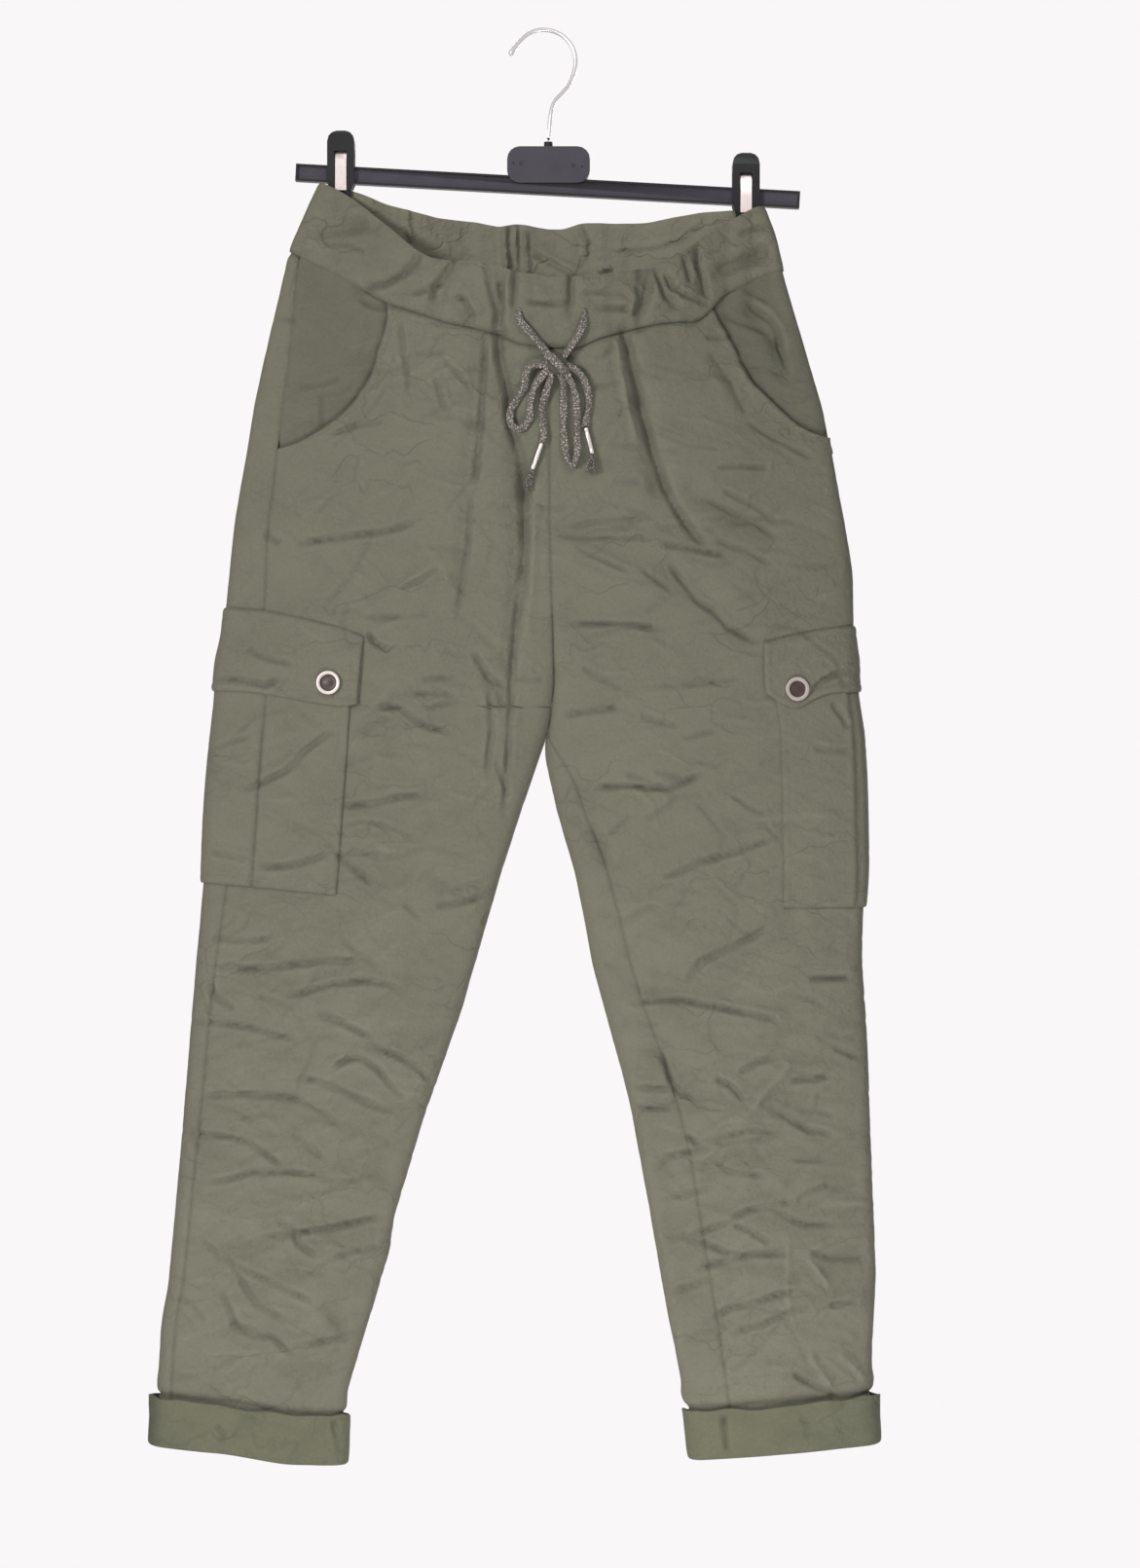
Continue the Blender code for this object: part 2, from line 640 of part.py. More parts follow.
def turn_across(side, distance, z):
    """Turn at a distance from the centre or inner fold, measured over the front."""
    share = np.asarray(distance, float) / ring_width(side, z)
    inside = np.arccos(np.clip(1.0 - 2.0 * share, -1.0, 1.0)) / math.pi
    beyond = 2.0 - np.arccos(np.clip(1.0 - 2.0 * (2.0 - share), -1.0, 1.0)) / math.pi
    behind = -np.arccos(np.clip(1.0 + 2.0 * share, -1.0, 1.0)) / math.pi
    return np.where(share < 0.0, behind, np.where(share > 1.0, beyond, inside))


def turn_from_fold(side, distance, z):
    """Turn at a distance from the outer fold, more than 0 on the front."""
    return turn_across(side, ring_width(side, z) - distance, z)


def fold_distance(side, turn, z):
    """Distance of a turn from the outer fold, more than 0 on the front."""
    share = (1.0 - np.cos(math.pi * turn)) / 2.0
    distance = ring_width(side, z) * (1.0 - share)
    return np.where(turn <= 1.0, distance, -distance)


def gap_turn(side, turn, z):
    """Half a seam gap, as a share of a turn."""
    ahead = ring_point(side, turn + 0.02, z)
    behind = ring_point(side, turn, z)
    speed = np.linalg.norm(ahead - behind, axis=-1) / 0.02
    return SEAM_GAP / 2.0 / speed


def side_seam(side, z):
    return turn_from_fold(side, read(SEAMS, 1 if side < 0 else 2, z), z)


def inseam(side, z):
    return turn_across(side, read(SEAMS, 3 if side < 0 else 4, z), z)


def band_edges(side, turn, column):
    """Height of the waistband's free edge (1) or seam (2) at a turn of the ring."""
    turn = np.asarray(turn, float)
    z = np.full(turn.shape, -160.0)
    for _ in range(4):
        x = ring_point(side, turn, z)[..., 0]
        front = read(FRONT_EDGES, column, x)
        rear = read(REAR_EDGES, column, x)
        z = np.where(turn <= 1.0, front, rear)
    return z


def row_height(side, turn, level):
    """Height of a row of a leg panel, which follows the waist seam and the hem."""
    top = ease((level - LEVEL_FLAT) / (TOP_LEVEL - LEVEL_FLAT))
    bottom = ease((HEM_TILT_FROM - level) / (HEM_TILT_FROM - HEM_LEVEL))
    across = (1.0 - np.cos(math.pi * np.asarray(turn, float))) / 2.0
    hem = read(HEMS, 1 if side < 0 else 2, across)
    seam = band_edges(side, turn, 2) - SEAM_GAP
    return level + top * (seam - TOP_LEVEL) + bottom * (hem - HEM_LEVEL)


def mouth_turn(side, level):
    """Turn where a row meets the mouth of the hip pocket, found by halving."""
    mouth = RIGHT_MOUTH if side < 0 else LEFT_MOUTH
    low = 0.2
    high = 1.4
    for _ in range(40):
        middle = (low + high) / 2.0
        z = float(row_height(side, middle, level))
        limit = float(turn_across(side, read(mouth, 1, z), z))
        if middle < limit:
            low = middle
        else:
            high = middle
    return low


def panel_ends(side, panel, level):
    """First and last turn of a leg panel on a row."""
    seam_turn = 1.0
    for _ in range(4):
        z = row_height(side, seam_turn, level)
        seam_turn = float(side_seam(side, z))
    z_seam = row_height(side, seam_turn, level)
    z_inner = row_height(side, 0.0, level) if panel == "front" else row_height(side, 2.0, level)
    inner_turn = float(inseam(side, z_inner))
    inner_gap = float(gap_turn(side, inner_turn, z_inner))
    side_gap = float(gap_turn(side, seam_turn, z_seam))
    if panel == "front":
        return inner_turn + inner_gap, seam_turn - side_gap
    return seam_turn + side_gap, 2.0 + inner_turn - inner_gap


def panel_turns(side, panel, level):
    """Turns of a leg panel's columns on a row."""
    first, last = panel_ends(side, panel, level)
    if panel == "rear":
        fixed = [turn for turn in FOLD_TURNS if turn > 0.9] if side < 0 else []
        rest = np.linspace((fixed or [first])[-1], last, REAR_COLUMNS - len(fixed) + 1)
        return np.concatenate([[first], fixed[:-1], rest]) if fixed else rest
    if level > LEVELS[MOUTH_ROWS]:
        last = min(last, mouth_turn(side, level))
    if side < 0 or last < 1.1:
        return np.linspace(first, last, FRONT_COLUMNS + 1)
    fixed = [turn for turn in FOLD_TURNS if turn < 1.1]
    rest = np.linspace(first, fixed[0], FRONT_COLUMNS - len(fixed) + 1)
    return np.concatenate([rest, fixed[1:], [last]])


# ---------------------------------------------------------------- walls of cloth

def wall_mesh(name, outer, inner, closed=False):
    """Closed wall between two grids of points; a closed wall joins its last column to
    its first."""
    rows, columns = outer.shape[:2]
    shape = bmesh.new()
    faces = []
    for grid in (outer, inner):
        faces.append([
            [shape.verts.new(Vector(grid[r, c]) * MM) for c in range(columns)]
            for r in range(rows)
        ])
    outside, inside = faces
    steps = columns if closed else columns - 1
    for r in range(rows - 1):
        for c in range(steps):
            d = (c + 1) % columns
            shape.faces.new((outside[r][c], outside[r][d], outside[r + 1][d], outside[r + 1][c]))
            shape.faces.new((inside[r][c], inside[r + 1][c], inside[r + 1][d], inside[r][d]))
    for r in (0, rows - 1):
        for c in range(steps):
            d = (c + 1) % columns
            shape.faces.new((outside[r][c], inside[r][c], inside[r][d], outside[r][d]))
    if not closed:
        for c in (0, columns - 1):
            for r in range(rows - 1):
                shape.faces.new(
                    (outside[r][c], outside[r + 1][c], inside[r + 1][c], inside[r][c]))
    return finish_mesh(shape, name)


def add_wall(name, side, turns, heights, outer_lift, inner_lift, colour, group):
    """Wall of cloth over a grid of turns and heights on one side's rings."""
    outer = cloth_point(side, turns, heights, outer_lift)
    inner = cloth_point(side, turns, heights, inner_lift)
    return add_object(name, wall_mesh(name, outer, inner), colour, group)


def add_leg_panel(side, panel, group):
    turns = np.array([panel_turns(side, panel, level) for level in LEVELS])
    heights = np.array([row_height(side, row, level) for row, level in zip(turns, LEVELS)])
    zero = np.zeros(turns.shape)
    name = panel + "_" + SIDE_NAMES[side]
    add_wall(name, side, turns, heights, zero, zero - CLOTH, "olive_cotton", group)


def add_hip_facing(side, group):
    """Cloth that shows inside the hip pocket's mouth, tucked under the front."""
    turns = []
    heights = []
    lifts = []
    for level in LEVELS:
        mouth = mouth_turn(side, level)
        last = panel_ends(side, "front", level)[1]
        z = float(row_height(side, min(mouth, last), level))
        distance = float(fold_distance(side, min(mouth, last), z))
        first = float(turn_from_fold(side, distance + MOUTH_OVERLAP, z))
        row = np.concatenate([[first], np.linspace(min(mouth, last - 0.03), last, 5)])
        turns.append(row)
        drop = FACING_DROP if level == TOP_LEVEL else 0.0
        heights.append(row_height(side, row, level) - drop)
        step = ease((distance - fold_distance(side, row, z)) / MOUTH_STEP_IN)
        lifts.append(-(CLOTH + FACING_GAP) * (1.0 - step))
        if mouth >= last:
            break
    lifts = np.array(lifts)
    name = "hip_facing_" + SIDE_NAMES[side]
    add_wall(name, side, np.array(turns), np.array(heights), lifts, lifts - CLOTH,
             "facing_cotton", group)


def band_turns(side, panel):
    """Turns where half a waistband meets the panel under it, from the centre to the side
    seam, and how many columns lie between two of them."""
    seam_turn = float(side_seam(side, -150.0))
    gap = float(gap_turn(side, seam_turn, -150.0))
    if panel == "rear":
        under = panel_turns(side, "rear", TOP_LEVEL)[::-1]
        joins = np.concatenate([[2.0], under[1:-1], [seam_turn + gap]])
        return joins, 3
    under = panel_turns(side, "front", TOP_LEVEL)
    beyond = np.linspace(under[-1], seam_turn - gap, 5)
    joins = np.concatenate([[0.0], under[1:], beyond[1:]])
    return joins, 2


def between(grid, parts):
    """Make the last row straight between every so many columns, as the panel under it."""
    for start in range(0, grid.shape[1] - 1, parts):
        for step in range(1, parts):
            share = step / parts
            grid[-1, start + step] = (
                grid[-1, start] * (1.0 - share) + grid[-1, start + parts] * share)
    return grid


def add_waistband(panel, group):
    """Gathered waistband over front or rear, one piece from side seam to side seam."""
    grids = []
    for side in (-1, 1):
        joins, parts = band_turns(side, panel)
        marks = np.arange(0.0, len(joins) - 1 + 1e-6, 1.0 / parts)
        turns = np.interp(marks, np.arange(len(joins)), joins)
        top = band_edges(side, turns, 1)
        seam = band_edges(side, turns, 2)
        shares = np.linspace(0.0, 1.0, BAND_ROWS + 1)[:, None]
        heights = top[None, :] * (1.0 - shares) + seam[None, :] * shares
        turns = np.repeat(turns[None, :], BAND_ROWS + 1, axis=0)
        lift = np.full(turns.shape, BAND_LIFT)
        outer = between(cloth_point(side, turns, heights, lift), parts)
        inner = between(cloth_point(side, turns, heights, lift - BAND_CLOTH), parts)
        grids.append((outer, inner))
    outer = np.concatenate([grids[0][0][:, ::-1], grids[1][0][:, 1:]], axis=1)
    inner = np.concatenate([grids[0][1][:, ::-1], grids[1][1][:, 1:]], axis=1)
    name = "waistband_" + panel
    add_object(name, wall_mesh(name, outer, inner), "waistband_cotton", group)


def laid_columns(side, z, front_edge, rear_edge, lines):
    """Columns of a piece laid over the side seam, as pairs of a kind and a value: fixed
    turns beside the outer fold, and distances from it elsewhere."""
    columns = [("turn", turn) for turn in FOLD_TURNS]
    edge_turns = (FOLD_TURNS[0] - COLUMN_TURN_GAP, FOLD_TURNS[-1] + COLUMN_TURN_GAP)
    distances = [front_edge, rear_edge, *lines]
    for panel in ("front", "rear"):
        turns = panel_turns(side, panel, z)[1:-1]
        distances += [float(fold_distance(side, turn, z)) for turn in turns]
    kept = []
    for distance in distances:
        turn = float(turn_from_fold(side, distance, z))
        if edge_turns[0] < turn < edge_turns[1] or not rear_edge <= distance <= front_edge:
            continue
        if all(abs(distance - other) > COLUMN_GAP for other in kept):
            kept.append(distance)
    columns += [("distance", distance) for distance in kept]
    return sorted(columns, key=lambda column: column_turn(side, column, z))


def column_turn(side, column, z):
    kind, value = column
    if kind == "turn":
        return value
    return float(turn_from_fold(side, value, z))


def laid_grid(side, columns, tops, bottoms, shares):
    """Turns and heights of a laid piece, from its top edge to its bottom edge."""
    turns = []
    heights = []
    for share in shares:
        z = tops * (1.0 - share) + bottoms * share
        turns.append([column_turn(side, column, at) for column, at in zip(columns, z)])
        heights.append(z)
    return np.array(turns), np.array(heights)


def add_cargo_pocket(side, group):
    """Patch pocket with a box pleat, laid over the side seam."""
    cut = POCKETS[side]
    lines = [cut["pleat"] + PLEAT_HALF, cut["pleat"], cut["pleat"] - PLEAT_HALF]
    columns = laid_columns(side, POCKET_MIDDLE, cut["front"], cut["rear"], lines)
    base = np.array([column_turn(side, column, POCKET_MIDDLE) for column in columns])
    distances = fold_distance(side, base, POCKET_MIDDLE)
    bottoms = read(POCKET_BOTTOMS, 1 if side < 0 else 2, distances)
    tops = np.full(bottoms.shape, cut["top"])
    shares = np.array([0.0, POCKET_UNDER_FLAP, 0.4, 0.66, 0.9, 1.0])
    turns, heights = laid_grid(side, columns, tops, bottoms, shares)
    from_edge = np.minimum(cut["front"] - distances, distances - cut["rear"])
    inside = from_edge / BELLY_FADE
    below = np.clip((shares - POCKET_UNDER_FLAP) / (1.0 - POCKET_UNDER_FLAP), 0.0, 1.0)
    belly = POCKET_BELLY * ease(inside)[None, :] * np.sin(math.pi * below)[:, None]
    pleat = (np.abs(distances - cut["pleat"]) < 0.5) | (np.abs(base - cut["pleat_turn"]) < 0.001)
    groove = PLEAT_DEPTH * pleat[None, :] * (shares > 0.1)[:, None]
    outer_lift = LAY_GAP + POCKET_CLOTH + belly - groove
    inner_lift = LAY_GAP + belly
    name = "cargo_pocket_" + SIDE_NAMES[side]
    add_wall(name, side, turns, heights, outer_lift, inner_lift, "olive_cotton", group)


def flap_lift(z, pocket_top):
    """Stand-off of a flap's underside, which steps over the pocket's top edge."""
    over = LAY_GAP + POCKET_CLOTH + LAY_GAP
    return LAY_GAP + (over - LAY_GAP) * ease((pocket_top + 34.0 - z) / 26.0)


def add_cargo_flap(side, group):
    """Pocket flap sewn on above the pocket and lying over its top edge."""
    rows = FLAP_EDGES[side]
    columns = laid_columns(side, -445.0, rows[-1][0], rows[0][0], FLAP_STEPS[side])
    base = np.array([column_turn(side, column, -445.0) for column in columns])
    distances = fold_distance(side, base, -445.0)
    shares = (0.0, 0.1, 0.45, 0.85, 1.0)
    turns, heights = laid_grid(side, columns, read(rows, 1, distances),
                               read(rows, 2, distances), shares)
    inner_lift = flap_lift(heights, POCKETS[side]["top"])
    name = "cargo_flap_" + SIDE_NAMES[side]
    add_wall(name, side, turns, heights, inner_lift + CLOTH, inner_lift, "olive_cotton", group)


def add_cuff(side, group):
    """Turned-up hem: a ring that starts under the leg's edge and folds up outside it."""
    turns = np.linspace(0.0, 2.0, CUFF_COLUMNS + 1)[:-1]
    across = (1.0 - np.cos(math.pi * turns)) / 2.0
    hem = read(HEMS, 1 if side < 0 else 2, across)
    stand = CUFF_STAND_INNER + (CUFF_STAND_OUTER - CUFF_STAND_INNER) * ease(across * 1.4)
    outer = []
    inner = []
    for height, share, outside, inside in CUFF_PROFILE:
        z = hem + height
        lower = np.where(height < -4.0, 1.6, 0.0)
        outer.append(cloth_point(side, turns, z, stand * share + outside))
        inner.append(cloth_point(side, turns, z + lower, stand * share + inside))
    name = "cuff_" + SIDE_NAMES[side]
    mesh = wall_mesh(name, np.array(outer), np.array(inner), closed=True)
    add_object(name, mesh, "cuff_cotton", group)


# ---------------------------------------------------------------- buttons and drawstring

def add_button(side, group):
    distance, height = BUTTONS[side]
    name = "button_" + SIDE_NAMES[side]
    mesh = bpy.data.meshes.new(name)
    points = [(radius * MM, 0.0, rise * MM) for radius, rise in BUTTON_PROFILE]
    edges = [(i, i + 1) for i in range(len(points) - 1)]
    mesh.from_pydata(points, edges, [])
    button = add_object(name, mesh, "button_metal", group)
    turned = button.modifiers.new("turned", "SCREW")
    turned.steps = 20
    turned.render_steps = 20
    turned.use_merge_vertices = True
    turned.merge_threshold = 0.00001
    turned.use_normal_calculate = True
    turn = float(turn_from_fold(side, distance, height))
    lift = float(flap_lift(height, POCKETS[side]["top"])) + CLOTH + LAY_GAP
    place = cloth_point(side, turn, height, lift) * MM
    normal = Vector(ring_normal(side, turn, height))
    button.location = Vector(place)
    button.rotation_euler = normal.to_track_quat("Z", "Y").to_euler()


def front_y(x, z):
    """Outer face of the trousers' front at a point near the centre."""
    side = -1 if x < inner_x(-1, z) else 1
    turn = turn_across(side, abs(x - float(inner_x(side, z))), z)
    return float(ring_point(side, turn, z)[1])


def smooth_run(points, spacing):
    """Points at even steps along a smooth curve through the given ones."""
    knots = np.array(points, float)
    ends = np.vstack([2.0 * knots[0] - knots[1], knots, 2.0 * knots[-1] - knots[-2]])
    fine = []
    for i in range(len(knots) - 1):
        a, b, c, d = ends[i:i + 4]
        for step in np.linspace(0.0, 1.0, 20, endpoint=False):
            fine.append(0.5 * (
                2.0 * b + (c - a) * step + (2.0 * a - 5.0 * b + 4.0 * c - d) * step ** 2
                + (3.0 * b - a - 3.0 * c + d) * step ** 3))
    fine.append(knots[-1])
    fine = np.array(fine)
    lengths = np.concatenate([[0.0], np.cumsum(np.linalg.norm(np.diff(fine, axis=0), axis=1))])
    count = max(3, int(round(lengths[-1] / spacing)) + 1)
    marks = np.linspace(0.0, lengths[-1], count)
    return np.stack([np.interp(marks, lengths, fine[:, axis]) for axis in range(3)], axis=1)


def add_tube(name, points, radius, colour, group, scales=None):
    """Round tube through the points, its ends capped."""
    curve = bpy.data.curves.new(name, "CURVE")
    curve.dimensions = "3D"
    curve.bevel_depth = radius * MM
    curve.bevel_resolution = 2
    curve.use_fill_caps = True
    spline = curve.splines.new("POLY")
    spline.points.add(len(points) - 1)
    for i, point in enumerate(points):
        spline.points[i].co = (*(Vector(point) * MM), 1.0)
        if scales is not None:
            spline.points[i].radius = scales[i]
    return add_object(name, curve, colour, group)


def knot_place():
    x, z = KNOT_CENTRE
    return Vector((x, front_y(x, z) - KNOT_STAND_OFF, z))


def knot_wrap(up):
    """Share of the knot's radii at a height along the way its wrap slants."""
    return 0.86 + 0.14 * math.exp(-(up / 0.42) ** 2)


def knot_reach(angle):
    """Distance from the knot's centre to its face at an angle round it."""
    unit = Vector((math.cos(angle) / KNOT_RADII[0], 0.0, math.sin(angle) / KNOT_RADII[2]))
    reach = 1.0 / unit.length
    return reach * knot_wrap((KNOT_SLANT @ (unit * reach)).z)


def knot_end(angle):
    """Two points that lead a cord straight into the knot: clear of it, and against it."""
    angle = math.radians(angle)
    way = Vector((math.cos(angle), 0.0, math.sin(angle)))
    aside = math.asin(CORD_RADIUS / KNOT_RADII[0])
    reach = max(knot_reach(angle + turn) * math.cos(turn) for turn in (-aside, 0.0, aside))
    reach = reach + SEAM_GAP
    return knot_place() + way * (reach + KNOT_LEAD), knot_place() + way * reach


def cord_points(name):
    """Middle line of one run of the drawstring."""
    points = [Vector((x, front_y(x, z) - off, z)) for x, z, off in CORDS[name]]
    at_start, at_end = KNOT_ENDS[name]
    if at_start is not None:
        points = list(reversed(knot_end(at_start))) + points
    if at_end is not None:
        points = points + list(knot_end(at_end))
    return smooth_run(points, CORD_SPACING * 0.75)


def add_cords(group):
    for name in CORDS:
        add_tube(name, cord_points(name), CORD_RADIUS, "cord_lurex", group)


def add_knot(group):
    """Bow's knot: a rounded lump with a slanting wrap raised over it."""
    shape = bmesh.new()
    bmesh.ops.create_uvsphere(shape, u_segments=12, v_segments=9, radius=1.0)
    for vert in shape.verts:
        wrap = knot_wrap((KNOT_SLANT @ vert.co).z)
        vert.co = Vector((vert.co.x * KNOT_RADII[0], vert.co.y * KNOT_RADII[1],
                          vert.co.z * KNOT_RADII[2])) * wrap * MM
    knot = add_object("drawstring_knot", finish_mesh(shape, "drawstring_knot"),
                      "cord_lurex", group)
    knot.location = knot_place() * MM


def add_aglets(group):
    for name, (x0, z0, x1, z1, off) in AGLETS.items():
        start = Vector((x0, front_y(x0, z0) - off, z0))
        end = Vector((x1, front_y(x1, z1) - off, z1))
        add_tube(name, [start, end], AGLET_RADIUS, "aglet_metal", group)


def add_tufts(group):
    """Frayed cord ends: fluted brushes that widen away from the aglets."""
    for name, (x0, z0, x1, z1, off) in TUFTS.items():
        start = Vector((x0, front_y(x0, z0) - off, z0))
        end = Vector((x1, front_y(x1, z1) - off, z1))
        axis = (end - start).normalized()
        across = axis.cross(Vector((0.0, 1.0, 0.0))).normalized()
        shape = bmesh.new()
        rings = []
        for share, radius, flute in ((0.0, 1.3, 0.0), (0.35, 2.0, 0.3), (1.0, 3.4, 0.9)):
            ring = []
            for step in range(TUFT_LOBES * 2):
                angle = math.pi * step / TUFT_LOBES
                reach = radius + flute * (1.0 if step % 2 else -1.0)
                droop = 0.8 * flute * (1.0 if step % 2 else -1.0)
                spoke = across * math.cos(angle) * reach
                spoke = spoke + Vector((0.0, 0.72 * math.sin(angle) * reach, 0.0))
                point = start.lerp(end, share) + spoke + axis * droop
                ring.append(shape.verts.new(point * MM))
            rings.append(ring)
        for near, far in zip(rings, rings[1:]):
            for i in range(len(near)):
                j = (i + 1) % len(near)
                shape.faces.new((near[i], near[j], far[j], far[i]))
        shape.faces.new(rings[0])
        tip = shape.verts.new((end - axis * 1.2) * MM)
        for i in range(len(rings[-1])):
            j = (i + 1) % len(rings[-1])
            shape.faces.new((rings[-1][i], rings[-1][j], tip))
        add_object(name, finish_mesh(shape, name), "cord_lurex", group)


# ---------------------------------------------------------------- the hanger

def bar_height(x):
    """Height of the bar's middle line."""
    return BAR_CENTRE[1] - math.tan(BAR_TILT) * (x - BAR_CENTRE[0])


def add_bar(group, cutters):
    """Straight bar with a channel down each face, moulded in one with its centre block."""
    shape = bmesh.new()
    size = Matrix.Diagonal((BAR_LENGTH * MM, BAR_DEPTH * MM, BAR_HEIGHT * MM, 1.0))
    bmesh.ops.create_cube(shape, size=1.0, matrix=size)
    faces = [face for face in shape.faces if abs(face.normal.y) > 0.9]
    for face in faces:
        inward = -face.normal * BAR_CHANNEL * MM
        bmesh.ops.inset_individual(shape, faces=[face], thickness=BAR_RIM * MM)
        walls = bmesh.ops.extrude_discrete_faces(shape, faces=[face])["faces"]
        for channel in walls:
            bmesh.ops.translate(shape, verts=channel.verts, vec=inward)
    bar = add_object("hanger_bar", finish_mesh(shape, "hanger_bar"), "hanger_plastic", group)
    bar.location = Vector((BAR_CENTRE[0], 0.0, BAR_CENTRE[1])) * MM
    bar.rotation_euler = (0.0, BAR_TILT, 0.0)

    block = bmesh.new()
    size = Matrix.Diagonal((*(Vector(BLOCK_SIZE) * MM), 1.0))
    bmesh.ops.create_cube(block, size=1.0, matrix=size)
    upright = [edge for edge in block.edges
               if abs(edge.verts[0].co.y - edge.verts[1].co.y) > 0.005]
    bmesh.ops.bevel(block, geom=upright, offset=BLOCK_ROUND * MM, segments=4, profile=0.5,
                    affect="EDGES")
    block_mesh = finish_mesh(block, "hanger_block_form")
    block_form = add_object("hanger_block_form", block_mesh, "hanger_plastic", cutters)
    block_form.location = Vector((BLOCK_CENTRE[0], 0.0, BLOCK_CENTRE[1])) * MM

    collar = bmesh.new()
    bottom = BLOCK_CENTRE[1] + BLOCK_SIZE[2] / 2.0 - 3.0
    bmesh.ops.create_cone(collar, segments=16, radius1=COLLAR_RADIUS * MM,
                          radius2=COLLAR_RADIUS * MM * 0.9,
                          depth=(COLLAR_TOP - bottom) * MM, cap_ends=True)
    collar_mesh = finish_mesh(collar, "hanger_collar_form")
    collar_form = add_object("hanger_collar_form", collar_mesh, "hanger_plastic", cutters)
    collar_form.location = Vector((HOOK_POINTS[0][0], 0.0, (COLLAR_TOP + bottom) / 2.0)) * MM

    for form in (block_form, collar_form):
        form.hide_render = True
        form.display_type = "WIRE"
        joined = bar.modifiers.new(form.name, "BOOLEAN")
        joined.operation = "UNION"
        joined.object = form


def add_hook(group):
    """Steel hook whose crest bears at the origin, with a small bead at its tip."""
    rows = [(x, 0.0, z) for x, z in HOOK_POINTS]
    points = smooth_run(rows, 4.4)
    scales = [1.0] * len(points)
    scales[-2] = 1.5
    scales[-1] = 1.2
    add_tube("hanger_hook", points, HOOK_RADIUS, "hook_steel", group, scales)


def prism(name, outline, depth, axis, colour, group):
    """Closed prism of a flat outline, centred along the given axis."""
    shape = bmesh.new()
    ends = []
    for way in (-0.5, 0.5):
        ring = []
        for across, up in outline:
            if axis == "X":
                point = Vector((way * depth, across, up))
            else:
                point = Vector((across, way * depth, up))
            ring.append(shape.verts.new(point * MM))
        ends.append(ring)
    count = len(outline)
    shape.faces.new(ends[0])
    shape.faces.new(ends[1])
    for i in range(count):
        j = (i + 1) % count
        shape.faces.new((ends[0][i], ends[0][j], ends[1][j], ends[1][i]))
    return add_object(name, finish_mesh(shape, name), colour, group)


def add_clip(which, group, cutters):
    """Black clip that rides on the bar and grips the rear of the waistband, with a steel
    spring in its window."""
    x = CLIP_X[which]
    place = Vector((x, 0.0, bar_height(x))) * MM
    front = list(CLIP_SIDE)
    rear = [(-y, z) for y, z in reversed(front)]
    name = "clip_" + which + "_body"
    body = prism(name, front + rear, CLIP_WIDTH + 2.0, "X", "hanger_plastic", group)
    body.location = place

    face = list(CLIP_FACE) + [(-across, up) for across, up in reversed(CLIP_FACE)]
    outline = prism("clip_" + which + "_outline", face, 40.0, "Y", "hanger_plastic", cutters)
    half, top, bottom = CLIP_WINDOW
    half = half / 2.0
    hole = [(half, top), (half, bottom), (-half, bottom), (-half, top)]
    window = prism("clip_" + which + "_window", hole, 40.0, "Y", "hanger_plastic", cutters)
    for form, how in ((outline, "INTERSECT"), (window, "DIFFERENCE")):
        form.location = place
        form.hide_render = True
        form.display_type = "WIRE"
        cut = body.modifiers.new(form.name, "BOOLEAN")
        cut.operation = how
        cut.object = form

    path = np.array(SPRING_PATH)
    ways = np.gradient(path, axis=0)
    ways = ways / np.linalg.norm(ways, axis=1, keepdims=True)
    beside = np.stack([-ways[:, 1], ways[:, 0]], axis=1) * SPRING_THICKNESS / 2.0
    strip = [tuple(point) for point in path + beside]
    strip += [tuple(point) for point in (path - beside)[::-1]]
    spring_name = "clip_" + which + "_spring"
    spring = prism(spring_name, strip, SPRING_WIDTH, "X", "spring_steel", group)
    spring.location = place


# ---------------------------------------------------------------- the whole

def build():
    clear_scene()
    pants = new_collection("cargo_pants")
    cutters = new_collection("cutters")
    for side in (-1, 1):
        add_leg_panel(side, "front", pants)
        add_leg_panel(side, "rear", pants)
        add_hip_facing(side, pants)
        add_cargo_pocket(side, pants)
        add_cargo_flap(side, pants)
        add_button(side, pants)
        add_cuff(side, pants)
    add_waistband("front", pants)
    add_waistband("rear", pants)
    add_cords(pants)
    add_knot(pants)
    add_aglets(pants)
    add_tufts(pants)
    add_bar(pants, cutters)
    add_hook(pants)
    for which in ("right", "left"):
        add_clip(which, pants, cutters)


build()
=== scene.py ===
"""Looks of the cargo pants on their clip hanger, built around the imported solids.

Lengths in the tables are millimetres, meshes are in metres. Right and left are the
wearer's, so the right leg lies at -X, and the front faces -Y.
"""

import functools
import math

import bmesh
import bpy
import numpy as np
from mathutils import Matrix, Vector


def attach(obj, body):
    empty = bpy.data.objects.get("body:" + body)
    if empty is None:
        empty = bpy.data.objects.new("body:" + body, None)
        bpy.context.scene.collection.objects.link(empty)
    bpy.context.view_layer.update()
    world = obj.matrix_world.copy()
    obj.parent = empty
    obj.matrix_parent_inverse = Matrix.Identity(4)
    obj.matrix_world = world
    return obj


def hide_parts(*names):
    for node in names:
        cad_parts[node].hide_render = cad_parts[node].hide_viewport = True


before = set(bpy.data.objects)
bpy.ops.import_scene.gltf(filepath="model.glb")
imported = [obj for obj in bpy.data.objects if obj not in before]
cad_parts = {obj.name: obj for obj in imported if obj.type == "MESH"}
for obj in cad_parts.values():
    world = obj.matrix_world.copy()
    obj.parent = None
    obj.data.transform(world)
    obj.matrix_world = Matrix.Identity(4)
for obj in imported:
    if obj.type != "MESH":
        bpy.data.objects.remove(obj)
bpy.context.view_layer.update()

MM = 0.001
SIDES = (-1, 1)
SIDE_NAMES = {-1: "right", 1: "left"}
COLUMN = {-1: 1, 1: 2}

# ---------------------------------------------------------------- camera

VIEW_POINT = (0.0191, -2.4, -0.5369)
FRAME_HEIGHT = 1.1196
SENSOR = 36.0


